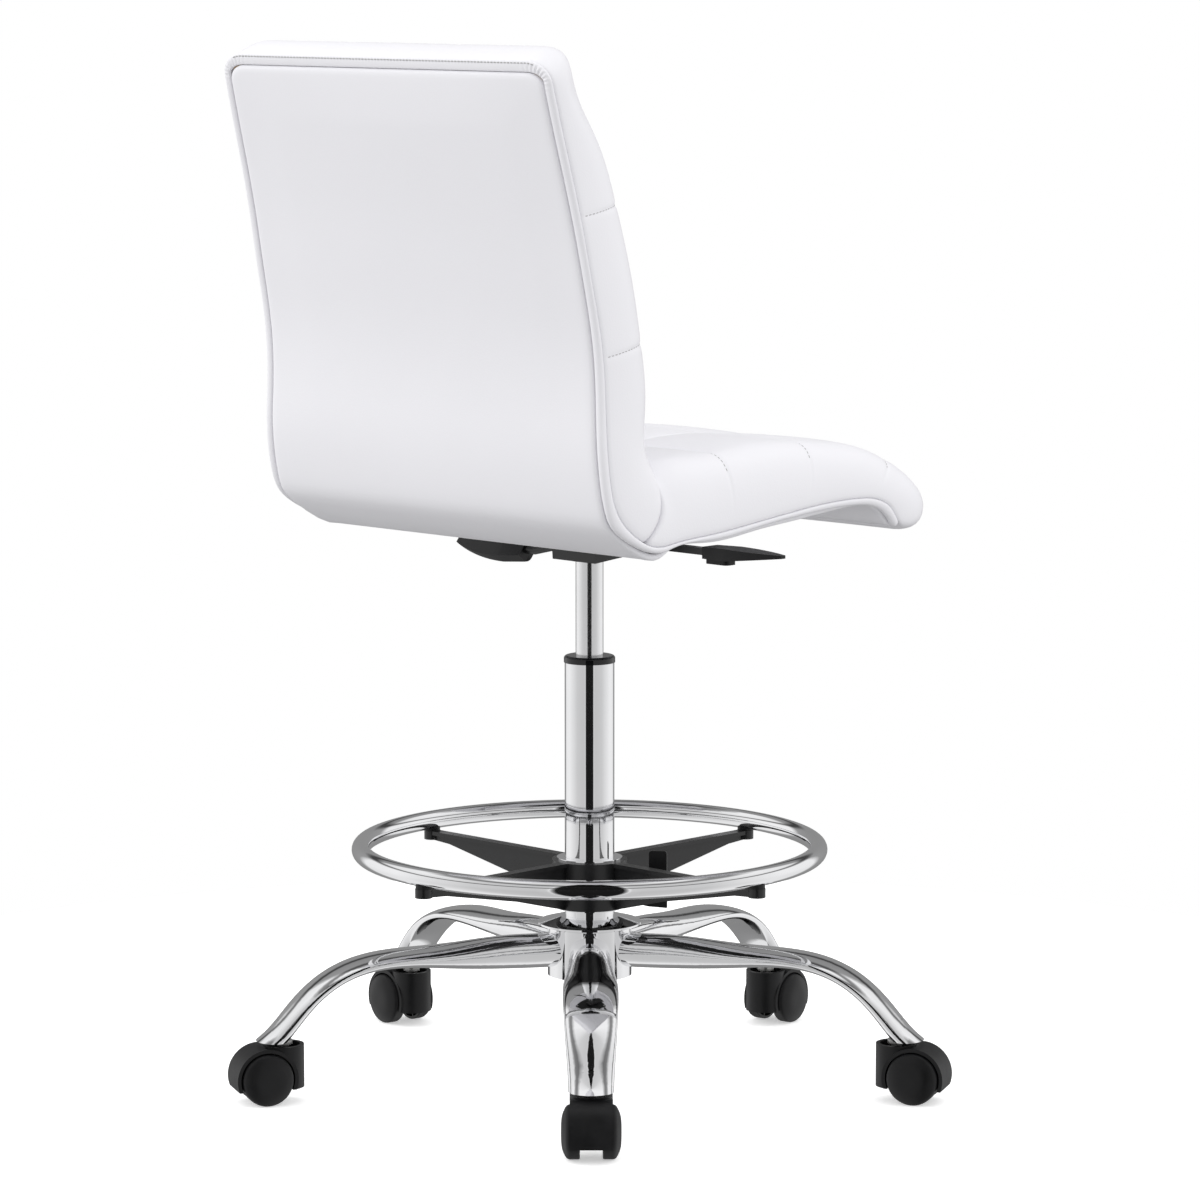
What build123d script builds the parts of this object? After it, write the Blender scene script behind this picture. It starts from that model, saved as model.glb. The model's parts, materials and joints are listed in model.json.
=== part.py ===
"""Drafting chair: one-piece upholstered seat and back, two-stage gas lift, foot ring,
five-star tube base and hooded twin-wheel casters.

Millimetres. The origin is on the floor at the column axis, +Z is up and the seat faces -Y.
"""

import os
from math import cos, radians, sin, tan

from build123d import *

# ---------------------------------------------------------------- driving dimensions
LEGS = 5
BASE_YAW = 135.0            # the star swivels under the seat; one leg rests at this angle
STEM_RADIUS = 320.0         # column axis to caster stem axis
FIT = 0.05                  # radial clearance of a running fit

HUB_BOTTOM = 108.0
HUB_TOP = 162.0
HUB_RADIUS = 42.5
HUB_RIM_RADIUS = 52.0
LEG_WALL = 2.0
LEG_TIP_Z = 62.0

WHEEL_RADIUS = 26.0
WHEEL_TRAIL = 21.0
WHEEL_WIDTH = 18.0
WHEEL_GAP = 21.5            # between the two wheels of a caster
COLLAR_RADIUS = 20.5
COLLAR_TOP = 58.0
STEM_PIN_RADIUS = 5.5
AXLE_RADIUS = 3.0

TUBE_RADIUS = 25.0
TUBE_WALL = 1.5
TUBE_BOTTOM = 104.0
TUBE_TOP = 426.0
BUSH_LENGTH = 70.0
BUSH_CAP = 7.0
CYLINDER_RADIUS = 14.0
CYLINDER_BORE = 11.0
CYLINDER_BOTTOM = 227.0
CYLINDER_TAPER_Z = 531.0
CYLINDER_TOP = 552.0
ROD_RADIUS = 5.0

RING_RADIUS = 230.0
RING_TUBE_RADIUS = 9.5
RING_Z = 237.0
SPIDER_TOP = 226.0
SPIDER_BOTTOM = 178.0
SPIDER_HUB_RADIUS = 38.0
SLEEVE_RADIUS = 33.0

SEAT_WIDTH = 464.0
COVER = 5.0                 # padded rear and underside cover
PLY = 12.0                  # bent plywood shell
UNDERSIDE_Z = 576.5         # height of the underside above the column axis
SEAT_PITCH = 4.78           # the underside rises towards the front

HOUSING_WIDTH = 60.0
HOUSING_WALL = 3.0
HOUSING_DEPTH = 45.0        # underside of the seat to the floor of the housing
PIVOT_Y = -50.0
PIVOT_DEPTH = 24.0
LEVER_Y = -50.0
LEVER_Z = 543.0

os.makedirs("parts", exist_ok=True)


def save(shape, label):
    """Label one finished sub-part and write its STEP file."""
    shape.label = label
    export_step(shape, f"parts/{label}.step")


def around(shape, angle, radius=0.0):
    """A copy of a shape moved out along an angle from the column and turned to face it."""
    spot = Location((radius * cos(radians(angle)), radius * sin(radians(angle)), 0), (0, 0, angle))
    return shape.moved(spot)


def inset(points, depth):
    """The points of an open outline moved sideways by depth, to the left of its direction."""
    moved = []
    for index, (y, z) in enumerate(points):
        before = points[max(index - 1, 0)]
        after = points[min(index + 1, len(points) - 1)]
        run = Vector(after[0] - before[0], after[1] - before[1]).normalized()
        moved.append((y - run.Y * depth, z + run.X * depth))
    return moved


leg_angles = [BASE_YAW + index * 360 / LEGS for index in range(LEGS)]

# ---------------------------------------------------------------- base: hub, legs, sockets
with BuildPart() as base_hub:
    with BuildSketch(Plane.XZ) as hub_profile:
        with BuildLine():
            Polyline(
                (TUBE_RADIUS, HUB_BOTTOM),
                (HUB_RADIUS, HUB_BOTTOM),
                (HUB_RADIUS, HUB_TOP - 5),
                (HUB_RIM_RADIUS, HUB_TOP - 2),
                (HUB_RIM_RADIUS, HUB_TOP),
                (TUBE_RADIUS + 5, HUB_TOP + 6),
                (TUBE_RADIUS, HUB_TOP + 6),
                close=True,
            )
        make_face()
    revolve(axis=Axis.Z)
save(base_hub.part, "base_hub")

# a leg is a round tube at the hub, pressed flat over the arch: distance out, height, slope, width, thickness
LEG_SECTIONS = (
    (36, 136.0, 0, 41, 36),
    (75, 135.5, 0, 42, 34),
    (130, 135.5, 0, 47, 28),
    (190, 136.5, -1, 53, 19),
    (235, 133.0, -12, 54, 16),
    (270, 120.0, -30, 52, 16),
    (300, 96.0, -43, 48, 18),
    (345, 52.0, -46, 43, 20),
)


def leg_solid(wall):
    """The leg as a solid, smaller all round by wall."""
    with BuildPart() as solid:
        for distance, height, slope, width, thickness in LEG_SECTIONS:
            run = (cos(radians(slope)), 0, sin(radians(slope)))
            with BuildSketch(Plane(origin=(distance, 0, height), x_dir=(0, 1, 0), z_dir=run)):
                Ellipse(width / 2 - wall, thickness / 2 - wall)
        loft()
    return solid.part


with BuildPart() as leg:
    add(leg_solid(0))
    add(leg_solid(LEG_WALL), mode=Mode.SUBTRACT)
    Cylinder(HUB_RADIUS, 400, mode=Mode.SUBTRACT)
    with Locations((STEM_RADIUS, 0, LEG_TIP_Z - 30)):
        Box(160, 80, 60, mode=Mode.SUBTRACT)
    with Locations((STEM_RADIUS, 0, LEG_TIP_Z)):
        Cylinder(STEM_PIN_RADIUS, 40, mode=Mode.SUBTRACT)

# an insert in each leg tip takes the caster stem
with BuildPart() as socket:
    with BuildSketch(Plane.XY.offset(LEG_TIP_Z)):
        with Locations((STEM_RADIUS + 2, 0)):
            Ellipse(15, 12)
    extrude(amount=26)
    add(leg_solid(LEG_WALL), mode=Mode.INTERSECT)
    with Locations((STEM_RADIUS, 0, LEG_TIP_Z)):
        Cylinder(STEM_PIN_RADIUS, 40, mode=Mode.SUBTRACT)

for number, angle in enumerate(leg_angles, start=1):
    save(around(leg.part, angle), f"base_leg_{number}")
save(Compound(children=[around(socket.part, angle) for angle in leg_angles]), "leg_sockets")

# ---------------------------------------------------------------- casters
HOOD_RADIUS = 31.0
HOOD_POCKET_RADIUS = 27.5
HOOD_WEB = 20.0
HOOD_BOTTOM = 15.0
STEM_BOTTOM = 30.0
STEM_TOP = 80.0
STEM_FLANGE_RADIUS = 9.0
BOWL_RADIUS = 16.5
BOWL_DEPTH = 8.0
AXLE_REACH = 12.0           # how far the axle is pressed into each wheel

axle_plane = Plane(origin=(WHEEL_TRAIL, 0, WHEEL_RADIUS), x_dir=(1, 0, 0), z_dir=(0, 1, 0))

with BuildPart() as hood:
    with BuildSketch(axle_plane):
        Circle(HOOD_RADIUS)
    extrude(amount=COLLAR_RADIUS, both=True)
    with Locations((0, 0, HOOD_BOTTOM)):
        Cylinder(COLLAR_RADIUS, COLLAR_TOP - HOOD_BOTTOM, align=(Align.CENTER, Align.CENTER, Align.MIN))
    for hand in (-1, 1):
        with BuildSketch(axle_plane.offset(hand * HOOD_WEB / 2)):
            Circle(HOOD_POCKET_RADIUS)
        extrude(amount=hand * COLLAR_RADIUS, mode=Mode.SUBTRACT)
    with BuildSketch(axle_plane):
        Circle(AXLE_RADIUS + FIT)
    extrude(amount=HOOD_WEB, both=True, mode=Mode.SUBTRACT)
    Box(200, 200, 2 * HOOD_BOTTOM, mode=Mode.SUBTRACT)
    with Locations((0, 0, COLLAR_TOP)):
        Cylinder(BOWL_RADIUS, 2 * BOWL_DEPTH, mode=Mode.SUBTRACT)
    with Locations((0, 0, STEM_BOTTOM)):
        Cylinder(
            STEM_PIN_RADIUS + FIT,
            COLLAR_TOP,
            align=(Align.CENTER, Align.CENTER, Align.MIN),
            mode=Mode.SUBTRACT,
        )

with BuildPart() as stem:
    with Locations((0, 0, STEM_BOTTOM + 0.5)):
        Cylinder(STEM_PIN_RADIUS, STEM_TOP - STEM_BOTTOM - 0.5, align=(Align.CENTER, Align.CENTER, Align.MIN))
    with Locations((0, 0, COLLAR_TOP)):
        Cylinder(STEM_FLANGE_RADIUS, LEG_TIP_Z - COLLAR_TOP, align=(Align.CENTER, Align.CENTER, Align.MIN))

with BuildPart() as axle:
    with BuildSketch(axle_plane):
        Circle(AXLE_RADIUS)
    extrude(amount=WHEEL_GAP / 2 + AXLE_REACH, both=True)

# one wheel: flat tread, domed outer face, and a hollow inner face stiffened by ribs
RIM_TREAD = 9.0
with BuildPart() as wheel:
    with BuildSketch():
        with BuildLine():
            Polyline((0, 0), (WHEEL_RADIUS - 1, 0), (WHEEL_RADIUS, 1), (WHEEL_RADIUS, RIM_TREAD))
            Spline(
                (WHEEL_RADIUS, RIM_TREAD),
                (WHEEL_RADIUS - 4, WHEEL_WIDTH - 3.5),
                (0, WHEEL_WIDTH),
                tangents=((0, 1), (-1, 0)),
            )
            Line((0, WHEEL_WIDTH), (0, 0))
        make_face()
    revolve(axis=Axis.Y)
    with BuildSketch(Plane.XZ):
        Circle(WHEEL_RADIUS - 3)
        Circle(AXLE_RADIUS + 4, mode=Mode.SUBTRACT)
    extrude(amount=-RIM_TREAD, mode=Mode.SUBTRACT)
    with BuildSketch(Plane.XZ):
        with PolarLocations(WHEEL_RADIUS / 2 + 1, 10):
            Rectangle(WHEEL_RADIUS - 7, 1.6)
    extrude(amount=-RIM_TREAD)
    with BuildSketch(Plane.XZ):
        Circle(AXLE_RADIUS)
    extrude(amount=-AXLE_REACH, mode=Mode.SUBTRACT)

wheel_left = wheel.part.moved(Location((WHEEL_TRAIL, WHEEL_GAP / 2, WHEEL_RADIUS)))
wheel_right = wheel_left.mirror(Plane.XZ)

for number, angle in enumerate(leg_angles, start=1):
    save(around(hood.part, angle, STEM_RADIUS), f"caster_hood_{number}")
    save(around(axle.part, angle, STEM_RADIUS), f"caster_axle_{number}")
    save(around(wheel_left, angle, STEM_RADIUS), f"caster_wheel_left_{number}")
    save(around(wheel_right, angle, STEM_RADIUS), f"caster_wheel_right_{number}")
save(Compound(children=[around(stem.part, angle, STEM_RADIUS) for angle in leg_angles]), "caster_stems")

# ---------------------------------------------------------------- column and gas lift
TUBE_FLOOR = 3.0
BEARING_HEIGHT = 6.0
SHOULDER_GAP = 0.3
PISTON_Z = 440.0
PISTON_HEIGHT = 22.0
CYLINDER_CAP = 8.0
VALVE_RADIUS = 3.0
BUTTON_RADIUS = 4.0
BUTTON_TOP = 557.0
CYLINDER_TAPER = 1.0

tube_inner = TUBE_RADIUS - TUBE_WALL

with BuildPart() as column_tube:
    with Locations((0, 0, TUBE_BOTTOM)):
        Cylinder(TUBE_RADIUS, TUBE_TOP - TUBE_BOTTOM, align=(Align.CENTER, Align.CENTER, Align.MIN))
    with BuildSketch(Plane.XY.offset(TUBE_BOTTOM + TUBE_FLOOR)):
        Circle(tube_inner)
    extrude(amount=TUBE_TOP - TUBE_BOTTOM, mode=Mode.SUBTRACT)
    with BuildSketch(Plane.XY.offset(TUBE_BOTTOM)):
        Circle(ROD_RADIUS + 2)
    extrude(amount=TUBE_FLOOR, mode=Mode.SUBTRACT)
save(column_tube.part, "column_tube")

with BuildPart() as guide_bush:
    with BuildSketch(Plane.XY.offset(TUBE_TOP - BUSH_LENGTH)):
        Circle(tube_inner)
        Circle(CYLINDER_RADIUS + FIT, mode=Mode.SUBTRACT)
    extrude(amount=BUSH_LENGTH)
    with BuildSketch(Plane.XY.offset(TUBE_TOP)):
        Circle(TUBE_RADIUS + 0.8)
        Circle(CYLINDER_RADIUS + FIT, mode=Mode.SUBTRACT)
    extrude(amount=BUSH_CAP)
    fillet(guide_bush.edges().group_by(Axis.Z)[-1].sort_by(SortBy.LENGTH)[-1], 3)
save(guide_bush.part, "guide_bush")

with BuildPart() as thrust_bearing:
    with BuildSketch(Plane.XY.offset(TUBE_BOTTOM + TUBE_FLOOR)):
        Circle(tube_inner - 4)
        Circle(ROD_RADIUS + FIT, mode=Mode.SUBTRACT)
    extrude(amount=BEARING_HEIGHT)
save(thrust_bearing.part, "thrust_bearing")

rod_bottom = TUBE_BOTTOM - 5
shoulder_z = TUBE_BOTTOM + TUBE_FLOOR + BEARING_HEIGHT + SHOULDER_GAP
with BuildPart() as piston_rod:
    with BuildSketch(Plane.XY.offset(rod_bottom)):
        Circle(ROD_RADIUS)
    extrude(amount=PISTON_Z - rod_bottom)
    with BuildSketch(Plane.XY.offset(shoulder_z)):
        Circle(ROD_RADIUS + 4)
    extrude(amount=3)
    with BuildSketch(Plane.XY.offset(PISTON_Z)):
        Circle(CYLINDER_BORE - FIT)
    extrude(amount=PISTON_HEIGHT)
save(piston_rod.part, "piston_rod")

with BuildPart() as rod_clip:
    with BuildSketch(Plane.XY.offset(TUBE_BOTTOM - 3)):
        Circle(ROD_RADIUS + 5)
        Circle(ROD_RADIUS, mode=Mode.SUBTRACT)
        with Locations((ROD_RADIUS + 3, 0)):
            Rectangle(10, 4, mode=Mode.SUBTRACT)
    extrude(amount=2.5)
save(rod_clip.part, "rod_clip")

with BuildPart() as gas_cylinder:
    with BuildSketch(Plane.XZ):
        with BuildLine():
            Polyline(
                (0, CYLINDER_BOTTOM),
                (CYLINDER_RADIUS, CYLINDER_BOTTOM),
                (CYLINDER_RADIUS, CYLINDER_TAPER_Z),
                (CYLINDER_RADIUS - CYLINDER_TAPER, CYLINDER_TOP),
                (0, CYLINDER_TOP),
                close=True,
            )
        make_face()
    revolve(axis=Axis.Z)
    with BuildSketch(Plane.XY.offset(CYLINDER_BOTTOM + CYLINDER_CAP)):
        Circle(CYLINDER_BORE)
    extrude(amount=CYLINDER_TOP - CYLINDER_BOTTOM - 2 * CYLINDER_CAP, mode=Mode.SUBTRACT)
    with BuildSketch(Plane.XY.offset(CYLINDER_BOTTOM)):
        Circle(ROD_RADIUS + FIT)
    extrude(amount=CYLINDER_CAP, mode=Mode.SUBTRACT)
    with BuildSketch(Plane.XY.offset(CYLINDER_TOP)):
        Circle(VALVE_RADIUS + FIT)
    extrude(amount=-CYLINDER_CAP, mode=Mode.SUBTRACT)
save(gas_cylinder.part, "gas_cylinder")

with BuildPart() as release_button:
    with BuildSketch(Plane.XY.offset(CYLINDER_TOP - CYLINDER_CAP + 2)):
        Circle(VALVE_RADIUS)
    extrude(amount=CYLINDER_CAP + 1)
    with BuildSketch(Plane.XY.offset(CYLINDER_TOP + 3)):
        Circle(BUTTON_RADIUS)
    extrude(amount=BUTTON_TOP - CYLINDER_TOP - 3)
save(release_button.part, "release_button")

# ---------------------------------------------------------------- foot ring
SPIDER_ANGLES = (0, 90, 180, 270)
SPIDER_FLANGE = 12.0
SPIDER_TIP = 232.0
TIP_RADIUS = 8.5            # round pad at the end of each arm
TIP_DEPTH = 9.0
SADDLE_RADIUS = 8.0
SADDLE_HEIGHT = 4.5
RING_SCREW_RADIUS = 3.0
SCREW_HEAD_RADIUS = 5.0
SCREW_HEAD = 3.0
LOCK_ANGLE = 215.0
LOCK_THICKNESS = 6.0
LOCK_PLAY = 0.4
LOCK_EAR = 4.0
LOCK_PIVOT = (45.0, 187.0)
LOCK_PIN_RADIUS = 2.0

spider_profile = (
    (SPIDER_HUB_RADIUS - 3, SPIDER_TOP),
    (SPIDER_TIP, SPIDER_TOP),
    (SPIDER_TIP, SPIDER_TOP - TIP_DEPTH),
    (SPIDER_TIP - 30, SPIDER_TOP - TIP_DEPTH - 2),
    (105, SPIDER_TOP - 30),
    (SPIDER_HUB_RADIUS + 14, SPIDER_BOTTOM + 4),
    (SPIDER_HUB_RADIUS - 3, SPIDER_BOTTOM),
)

screw_foot = SPIDER_TOP - TIP_DEPTH

with BuildPart() as ring_saddles:
    with PolarLocations(RING_RADIUS, 4):
        with Locations((0, 0, SPIDER_TOP)):
            Cylinder(SADDLE_RADIUS, SADDLE_HEIGHT, align=(Align.CENTER, Align.CENTER, Align.MIN))
    with Locations((0, 0, RING_Z)):
        Torus(RING_RADIUS, RING_TUBE_RADIUS, mode=Mode.SUBTRACT)
    with PolarLocations(RING_RADIUS, 4):
        with Locations((0, 0, SPIDER_TOP)):
            Cylinder(RING_SCREW_RADIUS, 40, mode=Mode.SUBTRACT)
save(ring_saddles.part, "ring_saddles")

with BuildPart() as foot_ring:
    with Locations((0, 0, RING_Z)):
        Torus(RING_RADIUS, RING_TUBE_RADIUS)
        Torus(RING_RADIUS, RING_TUBE_RADIUS - 1.5, mode=Mode.SUBTRACT)
    with PolarLocations(RING_RADIUS, 4):
        with Locations((0, 0, RING_Z - RING_TUBE_RADIUS)):
            Cylinder(RING_SCREW_RADIUS, 10, mode=Mode.SUBTRACT)
save(foot_ring.part, "foot_ring")

with BuildPart() as ring_spider:
    with BuildSketch(Plane.XY.offset(SPIDER_BOTTOM)):
        Circle(SPIDER_HUB_RADIUS)
    extrude(amount=SPIDER_TOP - SPIDER_BOTTOM)
    for angle in SPIDER_ANGLES:
        arm_plane = Plane.XZ.rotated((0, 0, angle))
        with BuildSketch(arm_plane):
            with BuildLine():
                Polyline(*spider_profile, close=True)
            make_face()
        extrude(amount=2.5, both=True)
    with BuildSketch(Plane.XY.offset(SPIDER_TOP)):
        with PolarLocations((SPIDER_HUB_RADIUS + SPIDER_TIP) / 2 - 2, 4):
            Rectangle(SPIDER_TIP - SPIDER_HUB_RADIUS + 4, SPIDER_FLANGE)
    extrude(amount=-4)
    with PolarLocations(RING_RADIUS, 4):
        with Locations((0, 0, SPIDER_TOP)):
            Cylinder(TIP_RADIUS, TIP_DEPTH, align=(Align.CENTER, Align.CENTER, Align.MAX))
    # two ears carry the pivot of the height lock lever
    ear_plane = Plane.XZ.rotated((0, 0, LOCK_ANGLE))
    for hand in (-1, 1):
        with BuildSketch(ear_plane.offset(hand * (LOCK_THICKNESS / 2 + LOCK_PLAY))):
            with Locations(LOCK_PIVOT):
                Circle(6)
            with Locations((LOCK_PIVOT[0] - 6, LOCK_PIVOT[1])):
                Rectangle(12, 12)
        extrude(amount=hand * LOCK_EAR)
    with BuildSketch(ear_plane):
        with Locations(LOCK_PIVOT):
            Circle(LOCK_PIN_RADIUS)
    extrude(amount=20, both=True, mode=Mode.SUBTRACT)
    with BuildSketch(Plane.XY.offset(SPIDER_BOTTOM - 5)):
        Circle(SLEEVE_RADIUS)
    extrude(amount=60, mode=Mode.SUBTRACT)
    with PolarLocations(RING_RADIUS, 4):
        with Locations((0, 0, SPIDER_TOP)):
            Cylinder(RING_SCREW_RADIUS, 60, mode=Mode.SUBTRACT)
        with Locations((0, 0, screw_foot)):
            Cylinder(SCREW_HEAD_RADIUS + 2 * FIT, 2 * SCREW_HEAD, mode=Mode.SUBTRACT)
save(ring_spider.part, "ring_spider")

with BuildPart() as ring_sleeve:
    with BuildSketch(Plane.XY.offset(SPIDER_BOTTOM - 2)):
        Circle(SLEEVE_RADIUS)
        Circle(TUBE_RADIUS + FIT, mode=Mode.SUBTRACT)
    extrude(amount=SPIDER_TOP - SPIDER_BOTTOM + 4)
save(ring_sleeve.part, "ring_sleeve")

with BuildPart() as ring_screws:
    with PolarLocations(RING_RADIUS, 4):
        with Locations((0, 0, screw_foot)):
            Cylinder(SCREW_HEAD_RADIUS, SCREW_HEAD, align=(Align.CENTER, Align.CENTER, Align.MIN))
            Cylinder(RING_SCREW_RADIUS, 15, align=(Align.CENTER, Align.CENTER, Align.MIN))
save(ring_screws.part, "ring_screws")

# L-shaped thumb lever in a radial plane: foot at the hub, tab standing up beside the arm
LOCK_TAB = (61.0, 79.0)
LOCK_TAB_TOP = 236.0
lock_profile = (
    (LOCK_PIVOT[0], LOCK_PIVOT[1] - 5),
    (LOCK_TAB[0], SPIDER_BOTTOM + 1),
    (LOCK_TAB[1], SPIDER_BOTTOM),
    (LOCK_TAB[1], LOCK_TAB_TOP),
    (LOCK_TAB[0], LOCK_TAB_TOP),
    (LOCK_TAB[0], LOCK_PIVOT[1] + 5),
    (LOCK_PIVOT[0], LOCK_PIVOT[1] + 5),
)
with BuildPart() as ring_lock_lever:
    with BuildSketch(ear_plane):
        with BuildLine():
            Polyline(*lock_profile, close=True)
        make_face()
        with Locations(LOCK_PIVOT):
            Circle(5)
            Circle(LOCK_PIN_RADIUS + FIT, mode=Mode.SUBTRACT)
    extrude(amount=LOCK_THICKNESS / 2, both=True)
    fillet(ring_lock_lever.edges().filter_by(Axis((0, 0, 0), ear_plane.z_dir)).group_by(Axis.Z)[-1], 3)
save(ring_lock_lever.part, "ring_lock_lever")

with BuildPart() as ring_lock_pin:
    with BuildSketch(ear_plane):
        with Locations(LOCK_PIVOT):
            Circle(LOCK_PIN_RADIUS)
    extrude(amount=LOCK_THICKNESS / 2 + LOCK_PLAY + LOCK_EAR, both=True)
save(ring_lock_pin.part, "ring_lock_pin")

# ---------------------------------------------------------------- planes of the seat
pitch = radians(SEAT_PITCH)
under = Plane(origin=(0, 0, UNDERSIDE_Z), x_dir=(1, 0, 0), z_dir=(0, sin(pitch), cos(pitch)))
side = Plane(origin=(0, 0, UNDERSIDE_Z), x_dir=(0, cos(pitch), -sin(pitch)), z_dir=(1, 0, 0))


def underside(y):
    """Height of the underside at a place along the seat."""
    return UNDERSIDE_Z - y * tan(pitch)


# ---------------------------------------------------------------- tilt mechanism
PLATE_SIZE = (190.0, 210.0)
PLATE_THICK = 3.0
PLATE_SHIFT = -5.0
BOLT_GRID = (150.0, 170.0)
BOLT_RADIUS = 4.0
PIVOT_RADIUS = 4.0
EAR_RADIUS = 8.0
EAR_GAP = 0.5
HOUSING_TOP = 20.0
HOUSING_REAR = 26.0
HOUSING_FRONT = -122.0
PIVOT_BOSS = 9.0
POCKET_TOP = PIVOT_DEPTH - PIVOT_BOSS
BOSS_RADIUS = 20.0
BOSS_BOTTOM = 529.0
BOSS_TOP = 548.0

half_housing = HOUSING_WIDTH / 2
pivot_spot = (PIVOT_Y, -PIVOT_DEPTH)
bolt_spots = [
    (x * BOLT_GRID[0] / 2, PLATE_SHIFT + y * BOLT_GRID[1] / 2)
    for x in (-1, 1)
    for y in (-1, 1)
]

with BuildPart() as seat_plate:
    with BuildSketch(under):
        with Locations((0, PLATE_SHIFT)):
            RectangleRounded(*PLATE_SIZE, 14)
        with Locations(*bolt_spots):
            Circle(BOLT_RADIUS, mode=Mode.SUBTRACT)
    extrude(amount=-PLATE_THICK)
    for hand in (-1, 1):
        with BuildSketch(side.offset(hand * (half_housing + EAR_GAP))):
            with Locations((PIVOT_Y, -PIVOT_DEPTH / 2)):
                Rectangle(2 * EAR_RADIUS, PIVOT_DEPTH)
            with Locations(pivot_spot):
                Circle(EAR_RADIUS)
                Circle(PIVOT_RADIUS + FIT, mode=Mode.SUBTRACT)
        extrude(amount=hand * PLATE_THICK)
save(seat_plate.part, "seat_plate")

housing_profile = (
    (HOUSING_REAR, -HOUSING_TOP),
    (HOUSING_REAR, -HOUSING_DEPTH),
    (HOUSING_FRONT + 26, -HOUSING_DEPTH),
    (HOUSING_FRONT, -HOUSING_DEPTH + 12),
    (HOUSING_FRONT, -HOUSING_TOP),
)
cylinder_room = (
    (0, BOSS_BOTTOM - 10),
    (CYLINDER_RADIUS, BOSS_BOTTOM - 10),
    (CYLINDER_RADIUS, CYLINDER_TAPER_Z),
    (CYLINDER_RADIUS - CYLINDER_TAPER, CYLINDER_TOP),
    (0, CYLINDER_TOP),
)
lever_wall = -half_housing + HOUSING_WALL / 2
housing_middle = (HOUSING_REAR + HOUSING_FRONT) / 2
inner_length = HOUSING_REAR - HOUSING_FRONT - 2 * HOUSING_WALL
with BuildPart() as tilt_housing:
    with BuildSketch(side):
        with BuildLine():
            Polyline(*housing_profile, close=True)
        make_face()
        with Locations(pivot_spot):
            Circle(PIVOT_BOSS)
    extrude(amount=half_housing, both=True)
    with BuildSketch(under.offset(-POCKET_TOP)):
        with Locations((0, housing_middle)):
            RectangleRounded(HOUSING_WIDTH - 2 * HOUSING_WALL, inner_length, 6)
    extrude(amount=-(HOUSING_DEPTH - POCKET_TOP - 13), mode=Mode.SUBTRACT)
    with BuildSketch(under.offset(-POCKET_TOP)):
        with Locations((0, housing_middle + 10)):
            RectangleRounded(HOUSING_WIDTH - 2 * HOUSING_WALL, inner_length - 20, 6)
    extrude(amount=-(HOUSING_DEPTH - POCKET_TOP - HOUSING_WALL), mode=Mode.SUBTRACT)
    with BuildSketch(Plane.XY.offset(BOSS_BOTTOM)):
        Circle(BOSS_RADIUS)
    extrude(amount=BOSS_TOP - BOSS_BOTTOM)
    # a post beside the right wall carries the pin of the height lever
    with Locations((-half_housing + HOUSING_WALL + 3, LEVER_Y - 12, LEVER_Z - 3)):
        Box(6, 5, 14)
    with BuildSketch(Plane.XZ):
        with BuildLine():
            Polyline(*cylinder_room, close=True)
        make_face()
    revolve(axis=Axis.Z, mode=Mode.SUBTRACT)
    with BuildSketch(side):
        with Locations(pivot_spot):
            Circle(PIVOT_RADIUS)
    extrude(amount=half_housing, both=True, mode=Mode.SUBTRACT)
    with Locations((lever_wall, LEVER_Y, LEVER_Z)):
        Box(HOUSING_WALL * 2, 14, 12, mode=Mode.SUBTRACT)
    with BuildSketch(Plane.YZ):
        with Locations((LEVER_Y, LEVER_Z)):
            Circle(4 + FIT)
    extrude(amount=half_housing + 5, mode=Mode.SUBTRACT)
    with BuildSketch(Plane.XZ.offset(-LEVER_Y)):
        with Locations((-half_housing + HOUSING_WALL + 3, LEVER_Z)):
            Circle(2)
    extrude(amount=16, mode=Mode.SUBTRACT)
save(tilt_housing.part, "tilt_housing")

with BuildPart() as tilt_pin:
    with BuildSketch(side):
        with Locations(pivot_spot):
            Circle(PIVOT_RADIUS)
    extrude(amount=half_housing + 2 * PLATE_THICK, both=True)
save(tilt_pin.part, "tilt_pin")

SPRING_WIRE = 1.5
SPRING_RADIUS = 6.5
SPRING_LENGTH = 34.0
pivot_world = side.from_local_coords((PIVOT_Y, -PIVOT_DEPTH, -SPRING_LENGTH / 2))
with BuildPart() as tilt_spring:
    with BuildLine() as spring_run:
        Helix(4.2, SPRING_LENGTH, SPRING_RADIUS, center=pivot_world, direction=(1, 0, 0))
    with BuildSketch(spring_run.line ^ 0):
        Circle(SPRING_WIRE)
    sweep(is_frenet=True)
save(tilt_spring.part, "tilt_spring")

# ---------------------------------------------------------------- levers
ARM_SIZE = (10.0, 7.0)      # width along the seat, height
ARM_INNER = -26.5
FINGER_Z = BUTTON_TOP + 0.3
FINGER_THICK = 3.0
PADDLE_INNER = 118.0
PADDLE_BOSS = 148.0
PADDLE_OUTER = 217.0

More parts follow.
